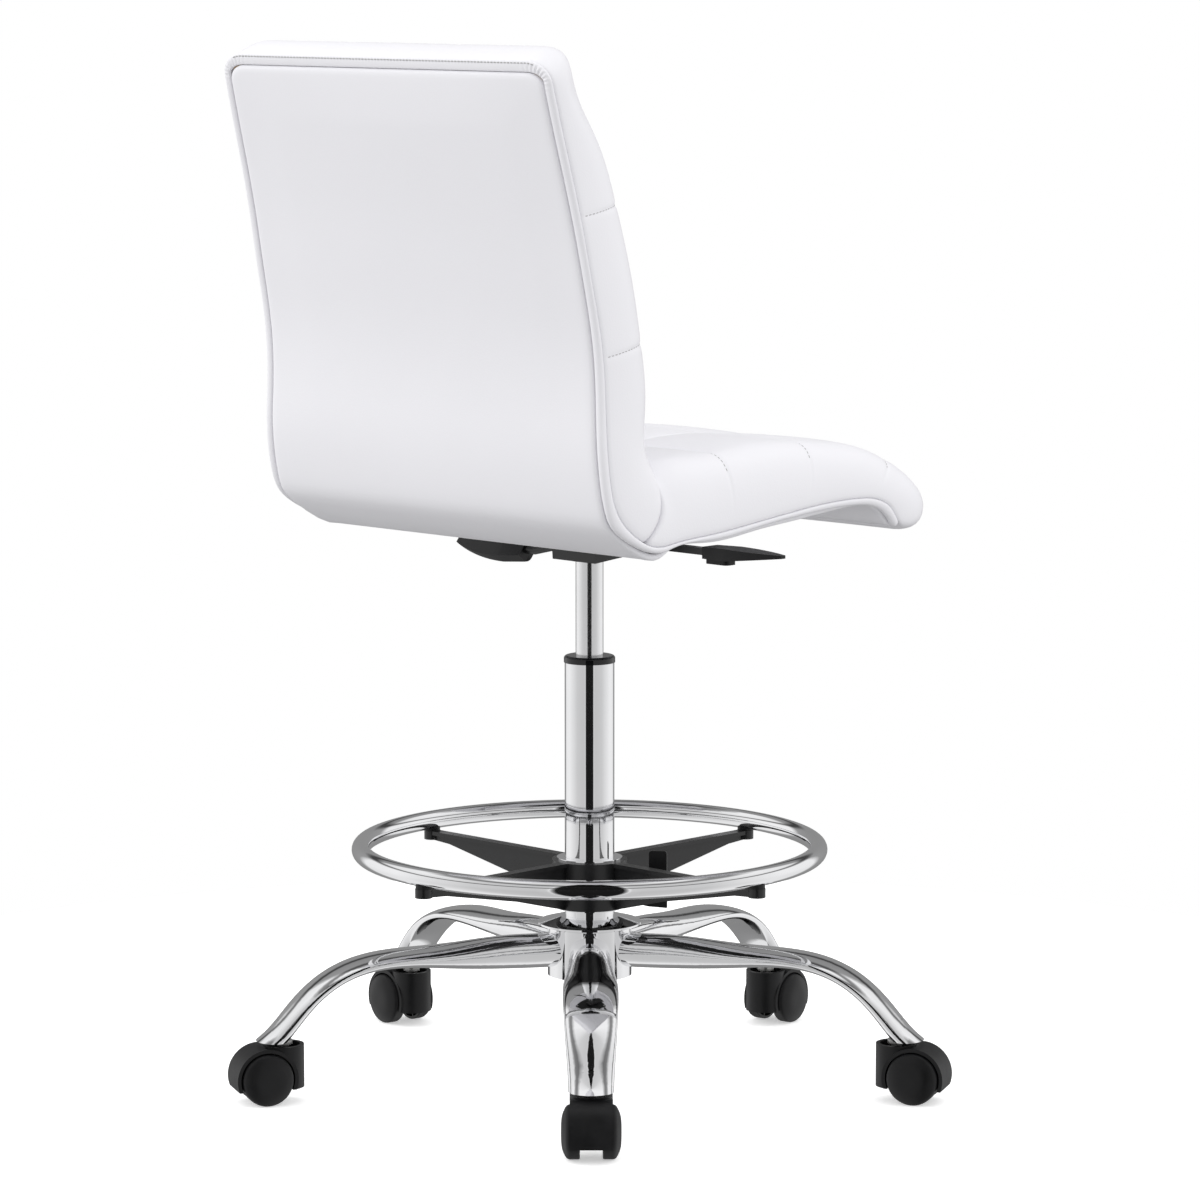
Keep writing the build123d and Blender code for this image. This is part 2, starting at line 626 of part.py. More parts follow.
# right side: flat arm through the housing wall, with a raised finger over the release button
with BuildPart() as height_lever:
    with Locations((ARM_INNER, LEVER_Y, LEVER_Z)):
        Box(PADDLE_INNER + 15 + ARM_INNER, *ARM_SIZE, align=(Align.MAX, Align.CENTER, Align.CENTER))
        Box(5, *ARM_SIZE, align=(Align.MIN, Align.CENTER, Align.CENTER))
    with Locations((ARM_INNER, LEVER_Y + 5, LEVER_Z)):
        Box(5, 28, ARM_SIZE[1], align=(Align.MIN, Align.MIN, Align.CENTER))
    with Locations((ARM_INNER, LEVER_Y + 24, LEVER_Z - 4)):
        Box(5, 10, FINGER_Z + FINGER_THICK - LEVER_Z + 4, align=(Align.MIN, Align.MIN, Align.MIN))
    with Locations((ARM_INNER, LEVER_Y + 24, FINGER_Z)):
        Box(31, 31, FINGER_THICK, align=(Align.MIN, Align.MIN, Align.MIN))
    with BuildSketch(Plane.XZ.offset(-LEVER_Y)):
        with Locations((-half_housing + HOUSING_WALL + 3, LEVER_Z)):
            Circle(2 + FIT)
    extrude(amount=16, both=True, mode=Mode.SUBTRACT)
save(height_lever.part, "height_lever")

with BuildPart() as height_lever_pin:
    with BuildSketch(Plane.XZ.offset(-LEVER_Y + 14)):
        with Locations((-half_housing + HOUSING_WALL + 3, LEVER_Z)):
            Circle(2)
    extrude(amount=-30)
save(height_lever_pin.part, "height_lever_pin")


def paddle_solid():
    """A moulded paddle lying flat: a thick grip that thins into a leaf-shaped blade."""
    with BuildPart() as blade:
        with BuildSketch(Plane.XY.offset(-10)):
            with BuildLine():
                Polyline((PADDLE_BOSS, -14), (PADDLE_INNER, -11), (PADDLE_INNER, 11), (PADDLE_BOSS, 14))
                ThreePointArc((PADDLE_BOSS, 14), (PADDLE_OUTER - 24, 10.5), (PADDLE_OUTER, 3))
                Line((PADDLE_OUTER, 3), (PADDLE_OUTER, -3))
                ThreePointArc((PADDLE_OUTER, -3), (PADDLE_OUTER - 24, -10.5), (PADDLE_BOSS, -14))
            make_face()
        extrude(amount=20)
        with BuildSketch(Plane.XZ):
            with BuildLine():
                Polyline(
                    (PADDLE_INNER - 1, -6),
                    (PADDLE_INNER - 1, 6),
                    (PADDLE_BOSS, 6.5),
                    (PADDLE_OUTER + 1, 4.5),
                    (PADDLE_OUTER + 1, 1.5),
                    (PADDLE_BOSS, -6),
                    close=True,
                )
            make_face()
        extrude(amount=30, both=True, mode=Mode.INTERSECT)
        with BuildSketch(Plane.XY.offset(-11)):
            with Locations(((PADDLE_INNER + PADDLE_BOSS) / 2, 0)):
                RectangleRounded(PADDLE_BOSS - PADDLE_INNER, 16, 5)
        extrude(amount=8)
    return blade.part


paddle = paddle_solid()
with BuildPart() as height_paddle:
    add(paddle.rotate(Axis.Z, 180).moved(Location((0, LEVER_Y, LEVER_Z))))
    with Locations((ARM_INNER, LEVER_Y, LEVER_Z)):
        Box(
            PADDLE_INNER + 15 + ARM_INNER,
            *ARM_SIZE,
            align=(Align.MAX, Align.CENTER, Align.CENTER),
            mode=Mode.SUBTRACT,
        )
save(height_paddle.part, "height_paddle")

# left side: a round rod twists to lock the tilt, with its paddle drooping and turned down
DROOP = 20.0
PADDLE_TURN = -52.0
PADDLE_SHIFT = 22.0
LOCK_CAM_X = 19.5
with BuildPart() as tilt_lock_rod:
    with BuildLine() as rod_run:
        Polyline(
            (6, LEVER_Y, LEVER_Z),
            (half_housing + 12, LEVER_Y, LEVER_Z),
            (PADDLE_INNER + PADDLE_SHIFT - 12, LEVER_Y, LEVER_Z - DROOP),
            (PADDLE_INNER + PADDLE_SHIFT + 20, LEVER_Y, LEVER_Z - DROOP),
        )
    with BuildSketch(Plane(origin=(6, LEVER_Y, LEVER_Z), z_dir=(1, 0, 0))):
        Circle(4)
    sweep(transition=Transition.ROUND)
    # the cam stands to the rear and turns up towards the tilt pin
    with BuildSketch(Plane.YZ.offset(LOCK_CAM_X)):
        with Locations((LEVER_Y + 3, LEVER_Z)):
            Rectangle(10, 6)
    extrude(amount=5)
save(tilt_lock_rod.part, "tilt_lock_rod")

with BuildPart() as tilt_lock_paddle:
    add(paddle.rotate(Axis.X, PADDLE_TURN).moved(Location((PADDLE_SHIFT, LEVER_Y, LEVER_Z - DROOP))))
    add(tilt_lock_rod.part, mode=Mode.SUBTRACT)
save(tilt_lock_paddle.part, "tilt_lock_paddle")

# ---------------------------------------------------------------- upholstered seat and back
BEND_END = (150.0, underside(150.0))
FLAT_START = (125.0, underside(125.0))
COVER_FRONT = -165.0
SHELL_FRONT = -148.0
COVER_WIDTH = SEAT_WIDTH - 14
SHELL_WIDTH = SEAT_WIDTH - 34
TEE_FLANGE_RADIUS = 9.0
TEE_BARREL_RADIUS = 5.0
SEAM_TOP = (142.0, 648.0)

# rear face of the back from the top down, then round the bend to the underside
REAR_LINE = (
    (284, 1026),
    (263, 944),
    (242, 862),
    (227, 794),
    (221, 730),
    (220, 676),
    (216, 634),
    (205, 602),
    (184, 577),
    BEND_END,
    FLAT_START,
)
FRONT_LINE = (
    SEAM_TOP,
    (144, 695),
    (149, 745),
    (158, 796),
    (172, 850),
    (187, 902),
    (205, 956),
    (231, 1013),
)
SEAT_TOP_LINE = (
    SEAM_TOP,
    (60, 652),
    (-30, 657),
    (-130, 652),
    (-205, 634),
    (-255, 606),
)
FRONT_ROLL = (
    (-255, 606),
    (-272, 584),
    (-262, 563),
    (-236, 555),
    (-208, 563),
    (-188, 582),
    (COVER_FRONT, underside(COVER_FRONT)),
)


def layer(depth, thickness, front, width):
    """A bent sheet that follows the rear and underside of the seat, a depth below its surface."""
    outer = inset(REAR_LINE, -depth)
    inner = inset(REAR_LINE, -depth - thickness)
    outer_front = (front, underside(front) + depth / cos(pitch))
    inner_front = (front, underside(front) + (depth + thickness) / cos(pitch))
    with BuildPart() as sheet:
        with BuildSketch(Plane.YZ):
            with BuildLine():
                Spline(*outer)
                Polyline(outer[-1], outer_front, inner_front, inner[-1])
                Spline(*reversed(inner))
                Line(inner[0], outer[0])
            make_face()
        extrude(amount=width / 2, both=True)
    return sheet.part


with BuildPart() as rear_cover:
    add(layer(0, COVER, COVER_FRONT, COVER_WIDTH))
    with BuildSketch(under):
        with Locations(*bolt_spots):
            Circle(BOLT_RADIUS)
    extrude(amount=COVER + 2, both=True, mode=Mode.SUBTRACT)
save(rear_cover.part, "rear_cover")

with BuildPart() as seat_shell:
    add(layer(COVER, PLY, SHELL_FRONT, SHELL_WIDTH))
    with BuildSketch(under):
        with Locations(*bolt_spots):
            Circle(TEE_BARREL_RADIUS)
    extrude(amount=COVER + PLY + 4, both=True, mode=Mode.SUBTRACT)
save(seat_shell.part, "seat_shell")

with BuildPart() as seat_cushion:
    with BuildSketch(Plane.YZ):
        with BuildLine():
            Spline(*SEAT_TOP_LINE)
            Spline(*FRONT_ROLL)
            Polyline(FRONT_ROLL[-1], FLAT_START, SEAM_TOP)
        make_face()
    extrude(amount=SEAT_WIDTH / 2, both=True)
    add(layer(0, COVER + PLY, SHELL_FRONT, SHELL_WIDTH), mode=Mode.SUBTRACT)
    add(layer(0, COVER, COVER_FRONT, COVER_WIDTH), mode=Mode.SUBTRACT)
    with BuildSketch(under.offset(COVER + PLY)):
        with Locations(*bolt_spots):
            Circle(TEE_FLANGE_RADIUS)
    extrude(amount=4, mode=Mode.SUBTRACT)
save(seat_cushion.part, "seat_cushion")

with BuildPart() as back_cushion:
    with BuildSketch(Plane.YZ):
        with BuildLine():
            Spline(*FRONT_LINE)
            Spline(FRONT_LINE[-1], (246, 1039), (268, 1046), REAR_LINE[0])
            Spline(*REAR_LINE)
            Line(FLAT_START, SEAM_TOP)
        make_face()
    extrude(amount=SEAT_WIDTH / 2, both=True)
    add(layer(0, COVER + PLY, SHELL_FRONT, SHELL_WIDTH), mode=Mode.SUBTRACT)
    add(layer(0, COVER, COVER_FRONT, COVER_WIDTH), mode=Mode.SUBTRACT)
save(back_cushion.part, "back_cushion")

with BuildPart() as tee_nuts:
    with BuildSketch(under.offset(COVER)):
        with Locations(*bolt_spots):
            Circle(TEE_BARREL_RADIUS)
    extrude(amount=PLY)
    with BuildSketch(under.offset(COVER + PLY)):
        with Locations(*bolt_spots):
            Circle(TEE_FLANGE_RADIUS)
    extrude(amount=1.5)
    with BuildSketch(under):
        with Locations(*bolt_spots):
            Circle(BOLT_RADIUS)
    extrude(amount=COVER + PLY + 4, mode=Mode.SUBTRACT)
save(tee_nuts.part, "tee_nuts")

WASHER_THICK = 1.6
with BuildPart() as mount_washers:
    with BuildSketch(under.offset(-PLATE_THICK)):
        with Locations(*bolt_spots):
            Circle(BOLT_RADIUS + 5)
            Circle(BOLT_RADIUS, mode=Mode.SUBTRACT)
    extrude(amount=-WASHER_THICK)
save(mount_washers.part, "mount_washers")

with BuildPart() as mount_bolts:
    with BuildSketch(under.offset(-PLATE_THICK - WASHER_THICK)):
        with Locations(*bolt_spots):
            Circle(BOLT_RADIUS)
    extrude(amount=PLATE_THICK + WASHER_THICK + COVER + PLY + 1.5)
    with BuildSketch(under.offset(-PLATE_THICK - WASHER_THICK)):
        with Locations(*bolt_spots):
            RegularPolygon(6.5, 6)
    extrude(amount=-5)
save(mount_bolts.part, "mount_bolts")
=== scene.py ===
"""Drafting chair: the looks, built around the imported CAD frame.

Blender units are metres. The cushion shapes below are written in millimetres.
"""
import json
import math

import bmesh
import bpy
import numpy as np
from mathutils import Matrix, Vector


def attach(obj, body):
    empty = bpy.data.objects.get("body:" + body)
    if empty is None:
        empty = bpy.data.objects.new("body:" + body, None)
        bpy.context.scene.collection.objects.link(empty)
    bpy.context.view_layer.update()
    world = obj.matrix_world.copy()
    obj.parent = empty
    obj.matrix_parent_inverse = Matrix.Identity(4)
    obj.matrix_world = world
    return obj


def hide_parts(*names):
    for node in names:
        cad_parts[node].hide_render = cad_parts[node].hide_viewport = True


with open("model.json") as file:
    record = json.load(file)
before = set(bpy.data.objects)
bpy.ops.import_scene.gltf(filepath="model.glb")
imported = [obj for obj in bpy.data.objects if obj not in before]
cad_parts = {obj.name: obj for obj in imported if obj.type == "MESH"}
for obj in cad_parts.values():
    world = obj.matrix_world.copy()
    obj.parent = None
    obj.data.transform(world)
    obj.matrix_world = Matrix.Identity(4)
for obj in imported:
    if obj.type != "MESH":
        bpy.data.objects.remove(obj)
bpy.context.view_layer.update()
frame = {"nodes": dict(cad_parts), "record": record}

scene = bpy.context.scene
MM = 0.001

# ------------------------------------------------------------------ camera
VIEW_YAW = 0.7809           # the camera stands this far round from +Y towards -X
CAMERA_DISTANCE = 4.999
CAMERA_HEIGHT = 1.1473
LENS = 151.1
AIM = Vector((-0.00745, -0.0074, 0.4885))
to_camera = Vector((-math.sin(VIEW_YAW), math.cos(VIEW_YAW), 0))

camera_data = bpy.data.cameras.new("camera")
camera_data.lens = LENS
camera_data.sensor_width = 36
camera_data.clip_end = 200
camera = bpy.data.objects.new("camera", camera_data)
scene.collection.objects.link(camera)
camera.location = to_camera * CAMERA_DISTANCE + Vector((0, 0, CAMERA_HEIGHT))
camera.rotation_mode = "QUATERNION"
camera.rotation_quaternion = (AIM - camera.location).to_track_quat("-Z", "Y")
scene.camera = camera


# ------------------------------------------------------------------ shader helpers
def principled(name, color, rough, **sockets):
    """A new material with its Principled shader set directly. Returns material, tree and shader."""
    material = bpy.data.materials.new(name)
    material.use_nodes = True
    tree = material.node_tree
    shader = tree.nodes["Principled BSDF"]
    shader.inputs["Base Color"].default_value = (*color, 1)
    shader.inputs["Roughness"].default_value = rough
    for socket, value in sockets.items():
        shader.inputs[socket.replace("_", " ")].default_value = value
    return material, tree, shader


def place(tree, scale=(1, 1, 1)):
    """Object coordinates, stretched by scale."""
    coordinates = tree.nodes.new("ShaderNodeTexCoord")
    mapping = tree.nodes.new("ShaderNodeMapping")
    mapping.inputs["Scale"].default_value = scale
    tree.links.new(coordinates.outputs["Object"], mapping.inputs["Vector"])
    return mapping.outputs["Vector"]


def noise(tree, vector, scale, detail=3.0, rough=0.5):
    node = tree.nodes.new("ShaderNodeTexNoise")
    node.inputs["Scale"].default_value = scale
    node.inputs["Detail"].default_value = detail
    node.inputs["Roughness"].default_value = rough
    tree.links.new(vector, node.inputs["Vector"])
    return node.outputs["Fac"]


def cells(tree, vector, scale):
    node = tree.nodes.new("ShaderNodeTexVoronoi")
    node.feature = "SMOOTH_F1"
    node.inputs["Scale"].default_value = scale
    tree.links.new(vector, node.inputs["Vector"])
    return node.outputs["Distance"]


def ramp(tree, factor, stops):
    """A colour ramp; each stop is a place and a grey level or a colour."""
    node = tree.nodes.new("ShaderNodeValToRGB")
    elements = node.color_ramp.elements
    while len(elements) < len(stops):
        elements.new(0.5)
    for element, (where, level) in zip(elements, stops):
        element.position = where
        rgb = level if hasattr(level, "__len__") else (level, level, level)
        element.color = (*rgb, 1)
    tree.links.new(factor, node.inputs["Fac"])
    return node.outputs["Color"]


def bump(tree, height, distance, strength=1.0, below=None):
    node = tree.nodes.new("ShaderNodeBump")
    node.inputs["Strength"].default_value = strength
    node.inputs["Distance"].default_value = distance
    tree.links.new(height, node.inputs["Height"])
    if below is not None:
        tree.links.new(below, node.inputs["Normal"])
    return node.outputs["Normal"]


# ------------------------------------------------------------------ materials
def make_chrome():
    material, tree, shader = principled("chrome", (0.90, 0.90, 0.91), 0.03, Metallic=1.0)
    smudge = noise(tree, place(tree), 9, 5)
    tree.links.new(ramp(tree, smudge, [(0.35, 0.022), (0.75, 0.075)]), shader.inputs["Roughness"])
    tint = ramp(tree, smudge, [(0.3, (0.90, 0.90, 0.91)), (0.8, (0.84, 0.845, 0.86))])
    tree.links.new(tint, shader.inputs["Base Color"])
    ripple = noise(tree, place(tree), 24, 1)
    scuffs = noise(tree, place(tree, (1, 1, 0.12)), 900, 2)
    low = bump(tree, ripple, 0.0002, 0.3)
    tree.links.new(bump(tree, scuffs, 0.00001, 0.15, low), shader.inputs["Normal"])
    return material


def make_ground_steel():
    """The ground and plated cylinder: softer reflections and fine turned lines."""
    material, tree, shader = principled("ground_steel", (0.86, 0.86, 0.87), 0.14, Metallic=1.0)
    lines = noise(tree, place(tree, (1, 1, 60)), 60, 3)
    tree.links.new(ramp(tree, lines, [(0.3, 0.11), (0.7, 0.19)]), shader.inputs["Roughness"])
    cloud = noise(tree, place(tree), 14, 3)
    tint = ramp(tree, cloud, [(0.3, (0.87, 0.87, 0.88)), (0.8, (0.79, 0.79, 0.80))])
    tree.links.new(tint, shader.inputs["Base Color"])
    tree.links.new(bump(tree, lines, 0.00002, 0.25), shader.inputs["Normal"])
    return material


def make_zinc():
    material, tree, shader = principled("zinc_steel", (0.62, 0.62, 0.60), 0.35, Metallic=1.0)
    patches = noise(tree, place(tree), 160, 4)
    tint = ramp(tree, patches, [(0.3, (0.66, 0.66, 0.64)), (0.7, (0.50, 0.50, 0.50))])
    tree.links.new(tint, shader.inputs["Base Color"])
    tree.links.new(ramp(tree, patches, [(0.2, 0.26), (0.8, 0.46)]), shader.inputs["Roughness"])
    tree.links.new(bump(tree, noise(tree, place(tree), 1400), 0.00004, 0.4), shader.inputs["Normal"])
    return material


def make_dark(name, color, worn, smooth, dull, grain, depth, **sockets):
    """A dark plastic or coating: moulded grain, slight wear and uneven gloss."""
    material, tree, shader = principled(name, color, smooth, **sockets)
    wear = noise(tree, place(tree), 42, 5, 0.6)
    tree.links.new(ramp(tree, wear, [(0.35, color), (0.8, worn)]), shader.inputs["Base Color"])
    tree.links.new(ramp(tree, wear, [(0.3, smooth), (0.75, dull)]), shader.inputs["Roughness"])
    fine = noise(tree, place(tree), grain, 2)
    tree.links.new(bump(tree, fine, depth, 0.5), shader.inputs["Normal"])
    return material


def make_acetal():
    material, tree, shader = principled("acetal", (0.76, 0.75, 0.71), 0.3)
    cloud = noise(tree, place(tree), 90, 3)
    tree.links.new(ramp(tree, cloud, [(0.3, 0.25), (0.8, 0.4)]), shader.inputs["Roughness"])
    tint = ramp(tree, cloud, [(0.3, (0.78, 0.77, 0.73)), (0.8, (0.70, 0.69, 0.64))])
    tree.links.new(tint, shader.inputs["Base Color"])
    return material


def make_vinyl(name, bright, grain=620.0):
    """Coated upholstery vinyl: pebbled grain, faint creases and a soft uneven gloss."""
    material, tree, shader = principled(name, bright, 0.42)
    shader.inputs["Sheen Weight"].default_value = 0.08
    shader.inputs["Sheen Roughness"].default_value = 0.4
    pebbles = cells(tree, place(tree), grain)
    pores = noise(tree, place(tree), 2600, 2)
    cloud = noise(tree, place(tree), 6, 4)
    creases = noise(tree, place(tree, (1, 1, 0.7)), 26, 2)
    dim = [level * 0.985 for level in bright]
    tint = ramp(tree, cloud, [(0.3, bright), (0.75, dim)])
    tree.links.new(tint, shader.inputs["Base Color"])
    tree.links.new(ramp(tree, cloud, [(0.3, 0.36), (0.75, 0.48)]), shader.inputs["Roughness"])
    low = bump(tree, creases, 0.0012, 0.18)
    mid = bump(tree, pebbles, 0.00022, 0.30, low)
    tree.links.new(bump(tree, pores, 0.00005, 0.25, mid), shader.inputs["Normal"])
    return material


# Sewing thread. Its dark grey is partly the thread's own colour and partly painted shade: it is darker than
# the real thread so the sewn lines read as the shadow line along each seam.
def make_thread():
    material, tree, shader = principled("thread", (0.60, 0.60, 0.62), 0.65)
    shader.inputs["Sheen Weight"].default_value = 0.3
    twist = noise(tree, place(tree), 3000, 1)
    tree.links.new(ramp(tree, twist, [(0.3, 0.50), (0.7, 0.36)]), shader.inputs["Base Color"])
    tree.links.new(bump(tree, twist, 0.0001, 0.5), shader.inputs["Normal"])
    return material


def make_plywood():
    material, tree, shader = principled("plywood", (0.62, 0.46, 0.30), 0.6)
    grain = noise(tree, place(tree, (3, 60, 60)), 6, 6, 0.6)
    layers = [(0.3, (0.66, 0.50, 0.33)), (0.5, (0.55, 0.39, 0.24)), (0.7, (0.70, 0.55, 0.38))]
    tint = ramp(tree, grain, layers)
    tree.links.new(tint, shader.inputs["Base Color"])
    tree.links.new(ramp(tree, grain, [(0.3, 0.5), (0.8, 0.75)]), shader.inputs["Roughness"])
    tree.links.new(bump(tree, grain, 0.0003, 0.4), shader.inputs["Normal"])
    return material


BLACK = (0.005, 0.005, 0.0055)
WORN_COAT = (0.011, 0.011, 0.012)
WORN_NYLON = (0.010, 0.010, 0.011)
COLLAR_BLACK = (0.004, 0.004, 0.0045)
WORN_COLLAR = (0.008, 0.008, 0.009)
NYLON_SPECULAR = 0.32
vinyl = make_vinyl("white_vinyl", (0.800, 0.795, 0.828))
black_coat = make_dark("black_coat", BLACK, WORN_COAT, 0.26, 0.40, 420, 0.00006)
black_nylon = make_dark(
    "black_nylon", BLACK, WORN_NYLON, 0.36, 0.50, 1500, 0.00008, Specular_IOR_Level=NYLON_SPECULAR
)
gloss_collar = make_dark("gloss_collar", COLLAR_BLACK, WORN_COLLAR, 0.06, 0.14, 800, 0.00002)
finishes = {
    "chrome": make_chrome(),
    "zinc_steel": make_zinc(),
    "piston_steel": make_ground_steel(),
    "black_coat": black_coat,
    "black_nylon": black_nylon,
    "gloss_collar": gloss_collar,
    "acetal": make_acetal(),
    "white_vinyl": vinyl,
    "plywood": make_plywood(),
}
thread = make_thread()
SPECIAL = {"gas_cylinder": finishes["piston_steel"]}

for row in frame["record"]["subparts"]:
    node = frame["nodes"][row["node"]]
    node.data.materials.clear()
    node.data.materials.append(SPECIAL.get(row["node"], finishes[row["material_slot"]]))


# ------------------------------------------------------------------ curves through stations
def spline_at(knots, values, at):
    """Natural cubic spline through values at knots, read at the places in at."""
    knots = np.asarray(knots, float)
    values = np.asarray(values, float).reshape(len(knots), -1)
    at = np.atleast_1d(np.asarray(at, float))
    count = len(knots)
    step = np.diff(knots)
    matrix = np.eye(count)
    right = np.zeros_like(values)
    for i in range(1, count - 1):
        matrix[i, i - 1 : i + 2] = step[i - 1], 2 * (step[i - 1] + step[i]), step[i]
        slope_after = (values[i + 1] - values[i]) / step[i]
        slope_before = (values[i] - values[i - 1]) / step[i - 1]
        right[i] = 6 * (slope_after - slope_before)
    bend = np.linalg.solve(matrix, right)
    i = np.clip(np.searchsorted(knots, at, side="right") - 1, 0, count - 2)
    h = step[i][:, None]
    a = (knots[i + 1][:, None] - at[:, None]) / h
    b = 1 - a
    return (
        a * values[i] + b * values[i + 1]
        + ((a**3 - a) * bend[i] + (b**3 - b) * bend[i + 1]) * h**2 / 6
    )


# the shell of the chair, from the top seam down the back, round the bend and out to the front roll: the
# rear or under surface, the side seam, the sitting surface, the border's rear line (each y, z), half width
STATIONS = (
    ((285, 1034), (281, 1034), (238, 1062), (284.5, 1034), 226),
    ((279.5, 1008), (274, 1008.5), (229, 1015), (279.5, 1008), 226.5),
    ((267, 959), (261.5, 960.5), (200, 962), (267, 959), 228),
    ((249, 890), (243.5, 891.5), (176, 901), (249, 890), 230.5),
    ((235, 825), (230, 826), (158, 835), (235, 825), 233),
    ((223.5, 758), (217, 759), (145, 769), (223.5, 758), 234),
    ((221.5, 700), (214, 701), (139.5, 715), (221.5, 700), 235),
    ((220, 650), (212, 652), (144, 677), (220, 650), 237),
    ((212, 608), (200.5, 609), (143, 663), (211.5, 608), 237.5),
    ((196, 587.5), (180, 589), (142, 654), (195, 588), 237),
    ((163, 567), (161, 578), (142, 646), (166, 573), 236.5),
    ((119, 567.8), (122, 575.5), (112, 650), (121, 571.5), 236),
    ((68, 571), (72, 579.5), (64, 653), (70, 573.8), 235.5),
    ((0, 576.5), (2, 586.7), (-8, 657), (1, 581.3), 235),
    ((-53, 581), (-52, 592.2), (-71, 657), (-52, 586.5), 233),
    ((-99, 585), (-99, 596.3), (-127, 652), (-99, 590), 232),
    ((-148, 589), (-147, 597.3), (-190, 640), (-147, 590.5), 232),
    ((-171, 587), (-174, 594), (-232, 621), (-170, 587), 232),
    ((-187, 577), (-194, 583.5), (-260, 600), (-187, 578), 232),
    ((-198, 566), (-203, 572), (-271, 580), (-198, 567), 231),
    ((-210, 559), (-211, 565), (-262, 562), (-208, 559), 229),
    ((-222, 555), (-220, 560), (-240, 553), (-220, 555), 226),
)
JOINT = 10                  # the station where back and seat are sewn together
station_rows = np.array([[*r, *i, *o, w, *b] for r, i, o, b, w in STATIONS], float)
middle = (station_rows[:, 2:4] + station_rows[:, 4:6]) / 2
station_s = np.concatenate([[0], np.cumsum(np.linalg.norm(np.diff(middle, axis=0), axis=1))])
JOINT_S = station_s[JOINT]
END_S = station_s[-1]
BOW = np.array((-16.0, -2.0))       # the joint seam bows forward of a straight line
BOW_REACH = 38.0
FULL = 232.0


def shell_at(s):
    """Rear, seam and sitting lines and width share at places along the shell."""
    values = spline_at(station_s, station_rows, s)
    return values[:, 0:2], values[:, 2:4], values[:, 4:6], values[:, 6] / FULL


def point_at(x, s, t):
    """Row-frame millimetres for a place across, along and through the cushion (0 seam, 1 sitting face)."""
    x, s, t = (np.atleast_1d(np.asarray(v, float)) for v in (x, s, t))
    _, seam, sitting, share = shell_at(s)
    fade = np.exp(-(((s - JOINT_S) / BOW_REACH) ** 2))
    plane = seam * (1 - t)[:, None] + sitting * t[:, None]
    plane = plane + (4 * t * (1 - t) * fade)[:, None] * BOW
    return np.column_stack([x * share, plane])


def rear_at(x, s, t):
    """Row-frame millimetres from the border's rear line (0) to the side seam (1)."""
    x, s, t = (np.atleast_1d(np.asarray(v, float)) for v in (x, s, t))
    _, seam, _, share = shell_at(s)
    edge = spline_at(station_s, station_rows[:, 7:9], s)
    return np.column_stack([x * share, edge * (1 - t)[:, None] + seam * t[:, None]])


def s_where(axis, value, line, low, high):
    """The place along the shell where a line passes a y or z value."""
    s = np.linspace(low, high, 800)
    found = shell_at(s)[line][:, axis]
    return float(s[np.argmin(abs(found - value))])


# ------------------------------------------------------------------ meshes
def mesh_object(name, points, faces, material):
    """A smooth-shaded object from points in millimetres."""
    mesh = bpy.data.meshes.new(name)
    mesh.from_pydata([tuple(p) for p in np.asarray(points) * MM], [], [tuple(f) for f in faces])
    work = bmesh.new()
    work.from_mesh(mesh)
    bmesh.ops.recalc_face_normals(work, faces=work.faces)
    work.to_mesh(mesh)
    work.free()
    mesh.materials.append(material)
    for polygon in mesh.polygons:
        polygon.use_smooth = True
    obj = bpy.data.objects.new(name, mesh)
    scene.collection.objects.link(obj)
    return obj


def grid_lines(low, high, step, marks, near):
    """Sorted places from low to high about a step apart, with each mark and a line near on both its sides."""
    fixed = [low, high]
    for mark in marks:
        fixed += [mark - near, mark, mark + near]
    fixed = sorted(set(round(v, 4) for v in fixed))
    lines = []
    for a, b in zip(fixed, fixed[1:]):
        count = max(1, round((b - a) / step))
        lines += [a + (b - a) * k / count for k in range(count)]
    return np.array(lines + [fixed[-1]])


def round_corner(share, straight, radius):
    """Along and inward distances for a share of the way from a straight run to mid corner."""
    way = share * (straight + radius * math.pi / 4)
    if way <= straight:
        return way, 0.0
    angle = (way - straight) / radius
    return straight + radius * math.sin(angle), radius * (1 - math.cos(angle))


COLUMNS = (-77.0, 77.0)     # the sewn lines that run along the cushions
GRID_STEP = 5.6             # the size of the cover's grid
SEAM_STEP = 2.6             # and how close the grid comes to each sewn line
TURN_ZONE = 30.0            # the last of the sitting face that spreads out round a corner
ROLL_OUT = 0.88             # how full the rolled edge is, outwards and upwards
ROLL_UP = 0.92
ROLL_ROWS = 13
TUCKS = ((4.0, -0.02), (14.0, 0.16))    # how far in and how high the edge is tucked under the seam


